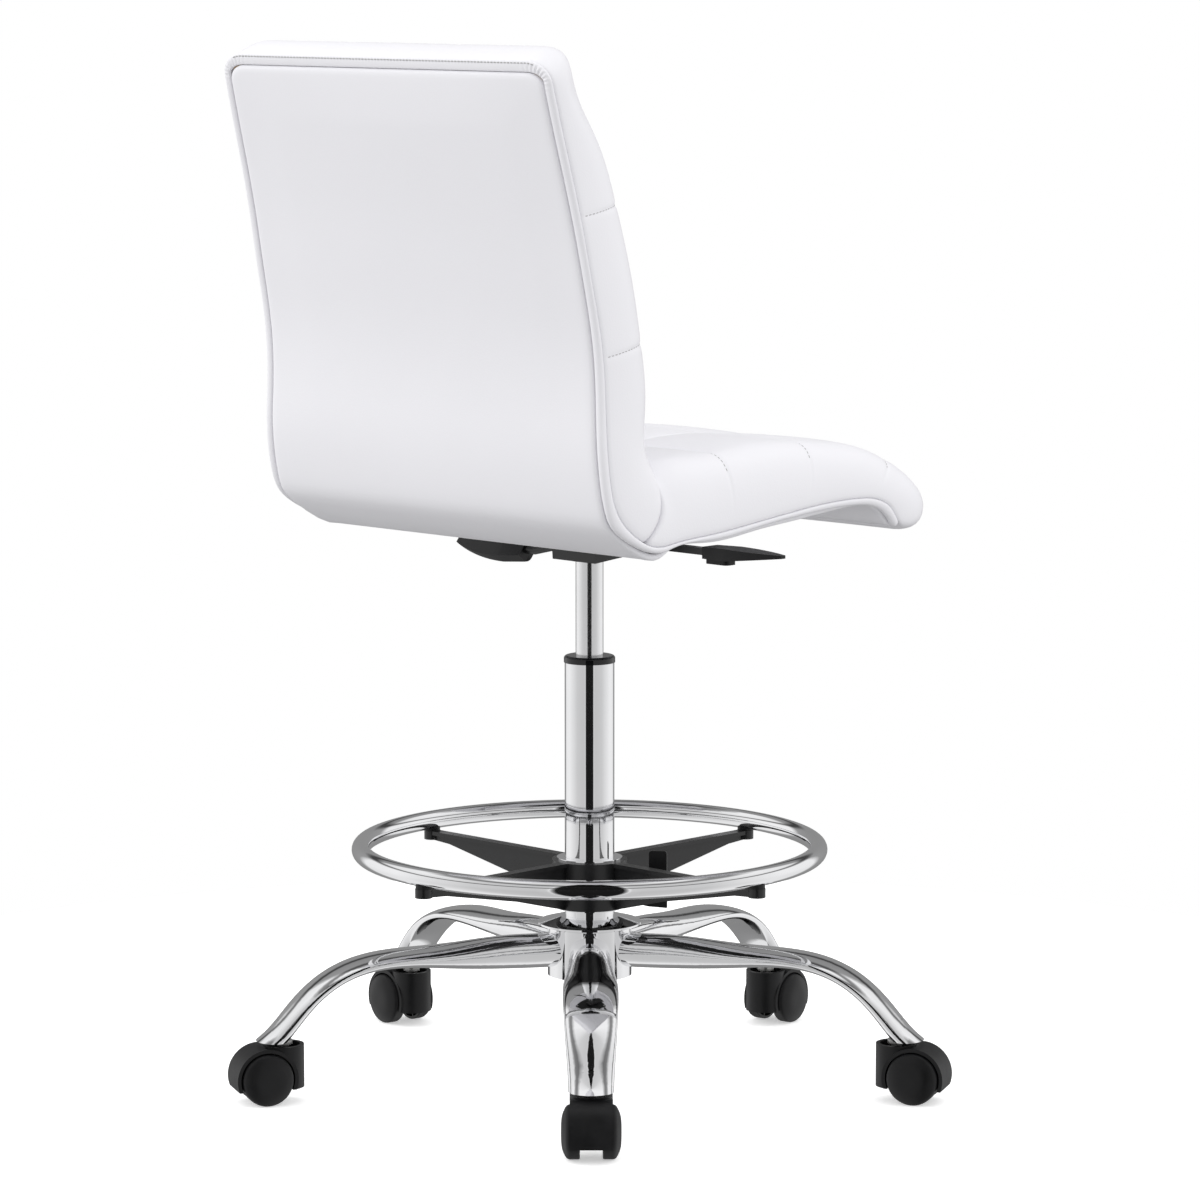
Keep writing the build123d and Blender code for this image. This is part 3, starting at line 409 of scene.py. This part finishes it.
class Tray:
    """A cushion's cover: a sitting face grid, and a ring of rows that rolls over its edges to the seam."""

    def __init__(self, low, high, inset, inset_low, inset_high, corner_low, corner_high, marks_s):
        self.half = FULL - inset
        self.x = grid_lines(-self.half, self.half, GRID_STEP, COLUMNS, SEAM_STEP)
        self.s = grid_lines(low + inset_low, high - inset_high, GRID_STEP, marks_s, SEAM_STEP)
        self.low, self.high = low, high
        self.insets = (inset, inset_low, inset_high)
        self.corners = (corner_low, corner_high)
        self.marks_x, self.marks_s = COLUMNS, marks_s
        self.build()

    def outline(self, x, s, edge):
        """The outline place that a border point of the sitting face goes out to."""
        _, inset_low, inset_high = self.insets
        s_in = (self.low + inset_low, self.high - inset_high)
        ends = (self.low, self.high)
        if edge == "side":
            sign = 1 if x > 0 else -1
            for end, inner, direction, radius in (
                (ends[0], s_in[0], -1, self.corners[0]),
                (ends[1], s_in[1], 1, self.corners[1]),
            ):
                start = inner - direction * TURN_ZONE
                if (s - start) * direction > 0:
                    share = (s - start) * direction / TURN_ZONE
                    straight = (end - start) * direction - radius
                    along, inward = round_corner(share, straight, radius)
                    return sign * (FULL - inward), start + direction * along
            return sign * FULL, s
        end, radius = (ends[0], self.corners[0]) if edge == "low" else (ends[1], self.corners[1])
        direction = -1 if edge == "low" else 1
        start = self.half - TURN_ZONE
        if abs(x) > start:
            share = (abs(x) - start) / TURN_ZONE
            straight = FULL - radius - start
            along, inward = round_corner(share, straight, radius)
            return math.copysign(start + along, x), end - direction * inward
        return x, end

    def build(self):
        nx, ns = len(self.x), len(self.s)
        places = [(x, s, 1.0) for s in self.s for x in self.x]
        faces = [
            (j * nx + i, j * nx + i + 1, (j + 1) * nx + i + 1, (j + 1) * nx + i)
            for j in range(ns - 1)
            for i in range(nx - 1)
        ]
        border = [(i, 0, "low") for i in range(nx)]
        border += [(nx - 1, j, "side") for j in range(1, ns)]
        border += [(i, ns - 1, "high") for i in range(nx - 2, -1, -1)]
        border += [(0, j, "side") for j in range(ns - 2, 0, -1)]
        count = len(border)
        inner = [(self.x[i], self.s[j]) for i, j, _ in border]
        outer = []
        for i, j, edge in border:
            corner = i in (0, nx - 1) and j in (0, ns - 1)
            outer.append(self.outline(self.x[i], self.s[j], "side" if corner else edge))
        rings = []
        for row in range(1, ROLL_ROWS + 1):
            angle = math.pi / 2 * row / ROLL_ROWS
            out = math.sin(angle) ** ROLL_OUT
            height = max(math.cos(angle), 0.0) ** ROLL_UP
            rolled = [(x + (ox - x) * out, s + (os_ - s) * out) for (x, s), (ox, os_) in zip(inner, outer)]
            rings.append((rolled, height))
        # tuck the edge in under the seam, then close the underside in strips
        middle_s = (self.low + self.high) / 2
        for tuck, height in TUCKS:
            shrink_x = 1 - tuck / FULL
            shrink_s = 1 - tuck / ((self.high - self.low) / 2)
            tucked = [(ox * shrink_x, middle_s + (os_ - middle_s) * shrink_s) for ox, os_ in outer]
            rings.append((tucked, height))
        before = [j * nx + i for i, j, _ in border]
        for ring, height in rings:
            now = [len(places) + k for k in range(count)]
            places += [(x, s, height) for x, s in ring]
            for k in range(count):
                m = (k + 1) % count
                faces.append((before[k], before[m], now[m], now[k]))
            before = now
        right = before[nx - 1 : nx - 1 + ns]
        far = nx - 1 + ns - 1
        left = [before[0]] + before[: -(ns - 1) : -1] + [before[far + nx - 1]]
        faces.append(tuple(before[0:nx]))
        for j in range(ns - 1):
            faces.append((left[j], right[j], right[j + 1], left[j + 1]))
        faces.append(tuple(before[far : far + nx]))
        self.places = np.array(places)
        self.faces = faces
        self.seam_first = nx * ns + (ROLL_ROWS - 1) * count


def pillow(value, marks, low, high, power=0.55):
    """0 on a sewn line and 1 midway between two of them."""
    lines = np.array([low, *marks, high])
    i = np.clip(np.searchsorted(lines, value, side="right") - 1, 0, len(lines) - 2)
    share = (value - lines[i]) / (lines[i + 1] - lines[i])
    return np.sin(np.pi * np.clip(share, 0, 1)) ** power


def nearest(value, marks):
    """The distance from each value to the nearest mark."""
    return np.min(np.abs(value[:, None] - np.asarray(marks)[None, :]), axis=1)


PRESSURE = 2.6
SWELL_FRAMES = 14
SWELL_CAP = 7.0 * MM        # no point moves further than this


def inflate(obj, pins):
    """Let the cover swell as cloth from its sewn lines, and keep the result in the mesh."""
    group = obj.vertex_groups.new(name="pins")
    group.add([int(p) for p in pins], 1.0, "REPLACE")
    cloth = obj.modifiers.new("swell", "CLOTH")
    settings = cloth.settings
    settings.quality = 5
    settings.mass = 0.3
    settings.tension_stiffness = 25
    settings.compression_stiffness = 25
    settings.shear_stiffness = 12
    settings.bending_stiffness = 0.6
    settings.tension_damping = 12
    settings.compression_damping = 12
    settings.use_pressure = True
    settings.uniform_pressure_force = PRESSURE
    settings.vertex_group_mass = "pins"
    settings.effector_weights.gravity = 0
    cloth.collision_settings.use_collision = False
    cloth.point_cache.frame_start = 1
    cloth.point_cache.frame_end = SWELL_FRAMES
    rest = np.array([v.co for v in obj.data.vertices])
    for number in range(1, SWELL_FRAMES + 1):
        scene.frame_set(number)
    swollen = obj.evaluated_get(bpy.context.evaluated_depsgraph_get())
    moved = np.array([v.co for v in swollen.data.vertices])
    obj.modifiers.remove(cloth)
    obj.vertex_groups.remove(group)
    scene.frame_set(1)
    step = moved - rest
    length = np.linalg.norm(step, axis=1)
    allowed = SWELL_CAP * np.tanh(length / SWELL_CAP)
    moved = rest + step * (allowed / np.maximum(length, 1e-12))[:, None]
    obj.data.vertices.foreach_set("co", moved.ravel())
    obj.data.update()


def subdivided(obj):
    """Apply one subdivision and keep the mesh's point attributes."""
    modifier = obj.modifiers.new("subdivide", "SUBSURF")
    modifier.levels = modifier.render_levels = 1
    graph = bpy.context.evaluated_depsgraph_get()
    smooth = obj.evaluated_get(graph)
    mesh = bpy.data.meshes.new_from_object(smooth, preserve_all_data_layers=True, depsgraph=graph)
    obj.modifiers.remove(modifier)
    old = obj.data
    obj.data = mesh
    bpy.data.meshes.remove(old)
    mesh.name = obj.name
    for polygon in mesh.polygons:
        polygon.use_smooth = True


def attribute(mesh, name, values):
    layer = mesh.attributes.get(name) or mesh.attributes.new(name, "FLOAT", "POINT")
    layer.data.foreach_set("value", np.asarray(values, np.float32))


def read_attribute(mesh, name):
    values = np.zeros(len(mesh.vertices), np.float32)
    mesh.attributes[name].data.foreach_get("value", values)
    return values.astype(float)


def read_points(mesh, kind="co"):
    values = np.zeros(len(mesh.vertices) * 3, np.float32)
    if kind == "co":
        mesh.vertices.foreach_get("co", values)
    else:
        mesh.vertex_normals.foreach_get("vector", values)
    return values.reshape(-1, 3).astype(float)


CHANNEL_DEPTH = 3.0
CROWN = 4.0
SIDE_CALM = 75.0            # the quilting flattens out this close to the side edges
CALM_FLOOR = 0.18           # what is left of it there
SEAM_PULL = 3.0             # the reach of the dip round a sewn line
GROOVE_REACH = 1.5          # the sharp groove along it
GROOVE_DEPTH = 1.1
JOINT_FLAP = 2.0


def eased(share):
    """0 to 1 with level ends."""
    return share * share * (3 - 2 * share)


def dip(distance, reach):
    return np.exp(-((distance / reach) ** 2))


def make_cushion(name, tray, side_depth, crown, depth, node):
    """Build, swell and finish one cushion; returns the object."""
    x, s, t = tray.places.T
    points = point_at(x, s, t)
    away = point_at(x, s, np.minimum(t, 1.0)) - point_at(x, s, np.minimum(t, 1.0) - 0.05)
    away /= np.linalg.norm(away, axis=1)[:, None]
    puff = pillow(x, tray.marks_x, -FULL, FULL) * pillow(s, tray.marks_s, tray.low, tray.high)
    calm = CALM_FLOOR + (1 - CALM_FLOOR) * eased(np.clip((FULL - abs(x)) / SIDE_CALM, 0, 1))
    on_top = np.clip((t - 0.35) / 0.65, 0, 1) ** 1.5
    to_x, to_s = nearest(x, tray.marks_x), nearest(s, tray.marks_s)
    sewn = np.maximum(dip(to_x, SEAM_PULL), dip(to_s, SEAM_PULL))
    lift = (crown * puff - depth * sewn) * on_top * calm
    points = points + away * lift[:, None]
    inward = np.column_stack([-np.sign(x), np.zeros_like(x), np.zeros_like(x)])
    on_side = (1 - on_top) * (t > 0.02) * dip(to_s, SEAM_PULL) * side_depth
    points = points + inward * on_side[:, None]
    obj = mesh_object(name, points, tray.faces, vinyl)
    kept = {"to_x": to_x, "to_s": to_s, "place_x": x, "place_s": s, "place_t": t}
    for attribute_name, values in kept.items():
        attribute(obj.data, attribute_name, values)
    index = np.arange(len(x))
    flap = (abs(s - JOINT_S) < JOINT_FLAP) & (t < 0.98)
    seam = index >= tray.seam_first
    lines = ((to_x < 0.5) | (to_s < 0.5)) & ((t > 0.35) | (side_depth > 0))
    pins = index[seam | flap | lines]
    inflate(obj, pins)
    subdivided(obj)
    mesh = obj.data
    co, normal = read_points(mesh), read_points(mesh, "normal")
    tx, ts, pt = (read_attribute(mesh, n) for n in ("to_x", "to_s", "place_t"))
    top = np.clip((pt - 0.3) / 0.4, 0, 1)
    along = dip(ts, GROOVE_REACH) * (top + (1 - top) * min(side_depth, 1.0)) * (pt > 0.01)
    across = dip(tx, GROOVE_REACH) * top
    co -= normal * (np.maximum(along, across) * GROOVE_DEPTH * MM)[:, None]
    mesh.vertices.foreach_set("co", co.ravel())
    mesh.update()
    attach(obj, "seat")
    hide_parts(node)
    return obj


# seams across the cushions: heights up the back, and distances along the seat
BACK_SEAMS = (889.5, 757.0)
SEAT_SEAMS = (34, -90, -212)
SEAT_CROWN = 2.5
SEAT_CHANNEL = 1.6
BACK_SIDE_DEPTH = 0.35
back_marks = [s_where(1, height, 1, 0, JOINT_S) for height in BACK_SEAMS]
seat_marks = [s_where(0, distance, 2, JOINT_S, END_S) for distance in SEAT_SEAMS]

back_tray = Tray(
    low=0.0, high=JOINT_S, inset=30.0, inset_low=26.0, inset_high=4.0,
    corner_low=30.0, corner_high=1.5, marks_s=back_marks,
)
seat_tray = Tray(
    low=JOINT_S, high=END_S, inset=40.0, inset_low=4.0, inset_high=12.0,
    corner_low=1.5, corner_high=14.0, marks_s=seat_marks,
)
back = make_cushion("back_upholstery", back_tray, BACK_SIDE_DEPTH, CROWN, CHANNEL_DEPTH, "back_cushion")
seat = make_cushion("seat_upholstery", seat_tray, 0.0, SEAT_CROWN, SEAT_CHANNEL, "seat_cushion")


# ------------------------------------------------------------------ stitches
def stitches(name, lines, pitch=5.2, length=3.7, radius=0.42):
    """Short sewn stitches along lines; each line is points and outward normals in millimetres."""
    sides = 6
    rings = ((-0.5, 0.25), (-0.38, 0.9), (0.0, 1.0), (0.38, 0.9), (0.5, 0.25))
    points = []
    faces = []
    for line, normals in lines:
        gaps = np.linalg.norm(np.diff(line, axis=0), axis=1)
        run = np.concatenate([[0], np.cumsum(gaps)])
        for centre in np.arange(pitch / 2, run[-1], pitch):
            ends = [centre - length / 2, centre, centre + length / 2]
            a, m, b = (np.array([np.interp(e, run, line[:, k]) for k in range(3)]) for e in ends)
            up = np.array([np.interp(centre, run, normals[:, k]) for k in range(3)])
            forward = b - a
            size = np.linalg.norm(forward)
            if size < 1e-6:
                continue
            forward /= size
            up -= forward * (up @ forward)
            up /= np.linalg.norm(up)
            beside = np.cross(forward, up)
            first = len(points)
            for along, wide in rings:
                sink = 0.25 - 0.5 * (2 * along) ** 4
                for k in range(sides):
                    angle = 2 * math.pi * k / sides
                    offset = beside * math.cos(angle) + up * math.sin(angle)
                    centre_line = m + forward * (along * length) + up * sink
                    points.append(centre_line + offset * radius * wide)
            for ring in range(len(rings) - 1):
                for k in range(sides):
                    n = (k + 1) % sides
                    base = first + ring * sides
                    faces.append((base + k, base + n, base + sides + n, base + sides + k))
            faces.append(tuple(first + k for k in range(sides)))
            faces.append(tuple(first + (len(rings) - 1) * sides + k for k in range(sides)))
    obj = mesh_object(name, points, faces, thread)
    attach(obj, "seat")
    return obj


MARK_REACH = 0.05           # a point this near a sewn line belongs to it
SIDE_FROM = 0.06            # how far down the cushion's side its cross seams show
TOP_FROM = 0.75


def sewn_lines(obj, tray, sides):
    """The channel lines of a finished cushion, read back from its mesh."""
    mesh = obj.data
    co, normal = read_points(mesh) / MM, read_points(mesh, "normal")
    x, s, t = (read_attribute(mesh, n) for n in ("place_x", "place_s", "place_t"))
    found = []
    for mark in tray.marks_s:
        pick = (abs(s - mark) < MARK_REACH) & (t > (SIDE_FROM if sides else TOP_FROM))
        order = np.argsort(x[pick] + 1e-3 * np.sign(x[pick]) * (1 - t[pick]))
        found.append((co[pick][order], normal[pick][order]))
    for mark in tray.marks_x:
        pick = (abs(x - mark) < MARK_REACH) & (t > TOP_FROM)
        order = np.argsort(s[pick])
        found.append((co[pick][order], normal[pick][order]))
    return found


channels = sewn_lines(back, back_tray, True) + sewn_lines(seat, seat_tray, False)
stitches("channel_stitches", channels)


# ------------------------------------------------------------------ rear panel and its border
CORNER = 30.0
CORNER_RUN = 40.0           # finer steps along this much of the border beside a corner
PANEL_EDGE = 9.4            # from the outline to the panel, at the sides and along the top
PANEL_TOP = 17.0
TOP_STRETCH = 0.9           # the border is this much wider along the top
STRETCH_FROM = 40.0
STRETCH_RUN = 20.0


def outline_path(end_s, corner):
    """Places (x, s) down the right side seen from behind, from the front roll round the top and back."""
    near = corner + CORNER_RUN
    side_s = np.concatenate([np.linspace(end_s, near, 120), np.linspace(near, corner, 28)[1:]])
    right = [(-FULL, s) for s in side_s]
    turn = [
        (-FULL + corner * (1 - math.cos(a)), corner * (1 - math.sin(a)))
        for a in np.linspace(0, math.pi / 2, 26)[1:]
    ]
    corner_end = -FULL + corner
    fine_end = corner_end + CORNER_RUN
    across_x = np.concatenate([np.linspace(corner_end, fine_end, 28)[1:], np.linspace(fine_end, 0, 30)[1:]])
    across = [(x, 0.0) for x in across_x]
    half = right + turn + across
    return half + [(-x, s) for x, s in reversed(half[:-1])]


def offset_path(path, distance):
    """The path moved inwards (towards the middle of the rear surface), further along the top."""
    path = np.array(path)
    ahead = np.roll(path, -1, axis=0)
    behind = np.roll(path, 1, axis=0)
    ahead[-1], behind[0] = path[-1], path[0]
    run = ahead - behind
    run /= np.linalg.norm(run, axis=1)[:, None]
    wide = 1 + TOP_STRETCH * np.clip((STRETCH_FROM - path[:, 1]) / STRETCH_RUN, 0, 1)
    return path + np.column_stack([-run[:, 1], run[:, 0] * wide]) * distance


BORDER_END = END_S - 16.0
path = outline_path(BORDER_END, CORNER)
# inward from the outline, and from the rear surface (0) to the side seam (1)
BORDER_PROFILE = (
    (4.5, 0.96), (2.6, 1.0), (1.0, 0.97), (0.1, 0.86), (-0.3, 0.66), (-0.1, 0.40), (0.9, 0.16),
    (2.4, 0.02), (4.4, -0.03), (6.4, 0.03), (7.6, 0.10), (8.3, 0.24), (8.5, 0.50), (8.5, 0.90),
)
BORDER_WIDTH = 8.5
inward_sign = 1.0 if offset_path(path, 1.0)[10][0] > path[10][0] else -1.0
steps = len(path)
run_length = np.concatenate([[0], np.cumsum(np.linalg.norm(np.diff(np.array(path), axis=0), axis=1))])
# the cover is gathered where the border turns the two top corners
GATHER_DEPTH = 1.3
GATHER_PITCH = 6.5
GATHER_REACH = 20.0
GATHER_ZONE = 12.0          # the middle of the turn, from the outline's two edges
turns = [k for k, (x, s) in enumerate(path) if s < GATHER_ZONE and abs(x) > FULL - GATHER_ZONE]
gathers = np.zeros(steps)
for side_turn in (turns[: len(turns) // 2], turns[len(turns) // 2 :]):
    away_from = run_length - np.mean(run_length[side_turn])
    gathers += dip(away_from, GATHER_REACH) * np.sin(2 * math.pi * away_from / GATHER_PITCH)
border_rows = []
for inward_mm, through in BORDER_PROFILE:
    moved = offset_path(path, inward_sign * inward_mm)
    row = rear_at(moved[:, 0], moved[:, 1], np.full(len(moved), through))
    loose = math.sin(math.pi * min(max(inward_mm / BORDER_WIDTH, 0), 1)) * (through < 0.5)
    row[:, 1] += GATHER_DEPTH * loose * gathers
    border_rows.append(row)
border_points = np.concatenate(border_rows)
border_faces = [
    (r * steps + k, r * steps + k + 1, (r + 1) * steps + k + 1, (r + 1) * steps + k)
    for r in range(len(BORDER_PROFILE) - 1)
    for k in range(steps - 1)
]
last = len(BORDER_PROFILE) - 1
border_faces += [(last * steps + k, last * steps + k + 1, k + 1, k) for k in range(steps - 1)]
border_faces.append(tuple(r * steps for r in range(last + 1)))
border_faces.append(tuple(r * steps + steps - 1 for r in range(last, -1, -1)))
border = mesh_object("rear_border", border_points, border_faces, vinyl)
subdivided(border)
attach(border, "seat")

# rear and underside panel: edges rolled in, softly bulged where it covers the back
PANEL_END = END_S - 20.0
UNDER_SHARE = 60.0          # the underside is reached over this much of the shell before the joint
BULGE = 3.2
BULGE_RUN = 120.0
EDGE_ROLL = ((0.0, 6.0), (0.3, 2.2), (1.2, 0.6), (2.6, -0.4), (5.0, -1.0), (10.0, -1.1))


def panel_height(x, s, edge):
    """How far the panel stands in front of (positive) or proud of (negative) the rear surface."""
    roll = np.interp(edge, [e for e, _ in EDGE_ROLL], [h for _, h in EDGE_ROLL])
    across = 1 - (x / FULL) ** 2
    down = eased(np.clip((JOINT_S - UNDER_SHARE - s) / BULGE_RUN, 0, 1))
    bulge = -BULGE * across * down * np.clip(edge / 60, 0, 1)
    flat = np.clip((s - (JOINT_S - UNDER_SHARE)) / UNDER_SHARE, 0, 1)
    return roll * (1 - flat) + (roll + 1.0 * np.clip(edge / 10, 0, 1)) * flat + bulge


def make_panel():
    half = FULL - PANEL_EDGE
    near = [0.0, 0.3, 1.2, 2.6, 5.0, 10.0]
    xs = [-half + e for e in near]
    xs += list(np.linspace(-half + 16, half - 16, 56))
    xs += [half - e for e in near[::-1]]
    start = PANEL_TOP
    ss = [start + e for e in near] + list(np.linspace(start + 16, PANEL_END - 14, 130))
    ss += [PANEL_END - e for e in near[::-1]]
    xs, ss = np.array(xs), np.array(ss)
    corner = CORNER - PANEL_EDGE
    points = []
    for s in ss:
        for x in xs:
            px, ps = x, s
            cx, cs = half - corner, start + corner
            if abs(x) > cx and s < cs:
                u = (abs(x) - cx) / corner
                v = (cs - s) / corner
                px = math.copysign(cx + corner * u * math.sqrt(1 - v * v / 2), x)
                ps = cs - corner * v * math.sqrt(1 - u * u / 2)
                reach = math.hypot(abs(px) - cx, cs - ps)
                edge = corner - reach
            else:
                edge = min(half - abs(x), s - start, PANEL_END - s)
            points.append((px, ps, max(edge, 0.0)))
    points = np.array(points)
    rear, seam, _, share = shell_at(points[:, 1])
    # outward direction of the rear surface in the y, z plane
    d = shell_at(points[:, 1] + 0.5)[0] - shell_at(points[:, 1] - 0.5)[0]
    d /= np.linalg.norm(d, axis=1)[:, None]
    outward = np.column_stack([-d[:, 1], d[:, 0]])
    height = panel_height(points[:, 0], points[:, 1], points[:, 2])
    plane = rear - outward * height[:, None]
    row_frame = np.column_stack([points[:, 0] * share, plane])
    nx, ns = len(xs), len(ss)
    faces = [
        (j * nx + i, j * nx + i + 1, (j + 1) * nx + i + 1, (j + 1) * nx + i)
        for j in range(ns - 1)
        for i in range(nx - 1)
    ]
    for j in range(ns - 1):
        faces.append((j * nx, (j + 1) * nx, (j + 1) * nx + nx - 1, j * nx + nx - 1))
    faces.append(tuple(range(nx)))
    faces.append(tuple((ns - 1) * nx + i for i in range(nx - 1, -1, -1)))
    obj = mesh_object("rear_panel", row_frame, faces, vinyl)
    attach(obj, "seat")
    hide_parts("rear_cover")
    return obj


make_panel()

# stitches just under the top seam, on the border
STITCH_INSET = 1.9
STITCH_HALF = 214.0
STITCH_END = 30.0
TOP_NORMAL = (0.0, 0.85, 0.53)
border_middle = offset_path(path, inward_sign * STITCH_INSET)
top_path = np.array([p for p in border_middle if p[1] < STITCH_END and abs(p[0]) < STITCH_HALF])
top_line = rear_at(top_path[:, 0], top_path[:, 1], np.full(len(top_path), 0.03))
top_normals = np.tile(TOP_NORMAL, (len(top_line), 1))
stitches("top_seam_stitches", [(top_line, top_normals)], pitch=4.4, length=3.0, radius=0.7)


# ------------------------------------------------------------------ stage, world and lights
FLOOR_RADIUS = 1.1
FLOOR_GLOW = 0.45           # keeps the pale floor as light as the room


def floor_disc(radius, sides=96):
    """A glowing pale disc, hidden from diffuse and glossy rays: it lights nothing and isn't mirrored."""
    mesh = bpy.data.meshes.new("floor")
    angles = [2 * math.pi * k / sides for k in range(sides)]
    ring = [(radius * math.cos(angle), radius * math.sin(angle), 0.0) for angle in angles]
    mesh.from_pydata(ring, [], [tuple(range(sides))])
    material, tree, shader = principled("floor", (0.96, 0.96, 0.96), 0.55)
    cloud = noise(tree, place(tree), 3, 2)
    tree.links.new(ramp(tree, cloud, [(0.3, 0.97), (0.8, 0.95)]), shader.inputs["Base Color"])
    shader.inputs["Emission Color"].default_value = (1, 1, 1, 1)
    shader.inputs["Emission Strength"].default_value = FLOOR_GLOW
    mesh.materials.append(material)
    obj = bpy.data.objects.new("floor", mesh)
    scene.collection.objects.link(obj)
    obj.visible_diffuse = False
    obj.visible_glossy = False


floor_disc(FLOOR_RADIUS)


def multiply(tree, first, second):
    """The product of two colours."""
    node = tree.nodes.new("ShaderNodeMix")
    node.data_type = "RGBA"
    node.blend_type = "MULTIPLY"
    node.inputs["Factor"].default_value = 1.0
    tree.links.new(first, node.inputs[6])
    tree.links.new(second, node.inputs[7])
    return node.outputs[2]


def zero_to_one(tree, value):
    """A value from -1 to 1 brought to 0 to 1."""
    node = tree.nodes.new("ShaderNodeMath")
    node.operation = "MULTIPLY_ADD"
    node.inputs[1].default_value = 0.5
    node.inputs[2].default_value = 0.5
    tree.links.new(value, node.inputs[0])
    return node.outputs["Value"]


def background(tree, color=None, strength=1.0):
    node = tree.nodes.new("ShaderNodeBackground")
    node.inputs["Color"].default_value = (1, 1, 1, 1)
    node.inputs["Strength"].default_value = strength
    if color is not None:
        tree.links.new(color, node.inputs["Color"])
    return node.outputs["Background"]


# each stop is a place and a brightness: round the room from the far side (0) to the side of the view
# (1), or from straight down (0) to straight up (1)
ROOM_FOR_METAL = [
    (0.0, 0.28), (0.09, 0.34), (0.14, 0.95), (0.36, 0.98), (0.63, 0.80), (0.76, 0.68),
    (0.95, 0.62), (0.970, 0.66), (0.9745, 0.98), (0.9775, 0.012), (1.0, 0.012),
]
HEIGHT_FOR_METAL = [
    (0.0, 0.92), (0.30, 0.90), (0.44, 0.98), (0.66, 1.0), (0.70, 0.20), (0.72, 0.18), (0.75, 0.92),
    (0.86, 0.99), (0.90, 0.30), (0.93, 0.25), (0.96, 1.0),
]
ROOM_LIGHT = [(0.0, 0.56), (0.3, 0.74), (0.5, 0.86), (0.85, 0.62), (1.0, 0.54)]
HEIGHT_LIGHT = [(0.0, 0.34), (0.38, 0.55), (0.5, 0.98), (0.62, 0.98), (1.0, 0.92)]
ROOM_STRENGTH = 1.98


def make_world():
    """A white studio, fixed in the room: metal sees panels and dark gaps, other surfaces a soft light."""
    world = bpy.data.worlds.new("studio")
    scene.world = world
    world.use_nodes = True
    tree = world.node_tree
    tree.nodes.clear()
    link = tree.links.new
    coordinates = tree.nodes.new("ShaderNodeTexCoord")
    split = tree.nodes.new("ShaderNodeSeparateXYZ")
    flat = tree.nodes.new("ShaderNodeCombineXYZ")
    unit = tree.nodes.new("ShaderNodeVectorMath")
    unit.operation = "NORMALIZE"
    facing = tree.nodes.new("ShaderNodeVectorMath")
    facing.operation = "DOT_PRODUCT"
    facing.inputs[1].default_value = to_camera
    link(coordinates.outputs["Generated"], split.inputs["Vector"])
    link(split.outputs["X"], flat.inputs["X"])
    link(split.outputs["Y"], flat.inputs["Y"])
    link(flat.outputs["Vector"], unit.inputs[0])
    link(unit.outputs["Vector"], facing.inputs[0])
    half = zero_to_one(tree, facing.outputs["Value"])
    up = zero_to_one(tree, split.outputs["Z"])
    seen_in_metal = multiply(tree, ramp(tree, half, ROOM_FOR_METAL), ramp(tree, up, HEIGHT_FOR_METAL))
    soft_light = multiply(tree, ramp(tree, half, ROOM_LIGHT), ramp(tree, up, HEIGHT_LIGHT))
    rays = tree.nodes.new("ShaderNodeLightPath")
    first = tree.nodes.new("ShaderNodeMixShader")
    second = tree.nodes.new("ShaderNodeMixShader")
    output = tree.nodes.new("ShaderNodeOutputWorld")
    link(rays.outputs["Is Glossy Ray"], first.inputs["Fac"])
    link(background(tree, soft_light, ROOM_STRENGTH), first.inputs[1])
    link(background(tree, seen_in_metal), first.inputs[2])
    link(rays.outputs["Is Camera Ray"], second.inputs["Fac"])
    link(first.outputs["Shader"], second.inputs[1])
    link(background(tree), second.inputs[2])
    link(second.outputs["Shader"], output.inputs["Surface"])


make_world()


def area_light(name, where, target, size, power):
    data = bpy.data.lights.new(name, "AREA")
    data.shape = "DISK"
    data.size = size
    data.energy = power
    obj = bpy.data.objects.new(name, data)
    scene.collection.objects.link(obj)
    obj.location = where
    obj.rotation_mode = "QUATERNION"
    obj.rotation_quaternion = (Vector(target) - Vector(where)).to_track_quat("-Z", "Y")
    obj.visible_camera = False
    obj.visible_glossy = False


area_light("top_light", where=(0.3, 0.2, 3.2), target=(0, 0, 0.4), size=2.2, power=6)
area_light("left_light", where=(2.6, 1.6, 1.7), target=(0, 0.1, 0.8), size=1.4, power=17)

scene.view_settings.view_transform = "Standard"
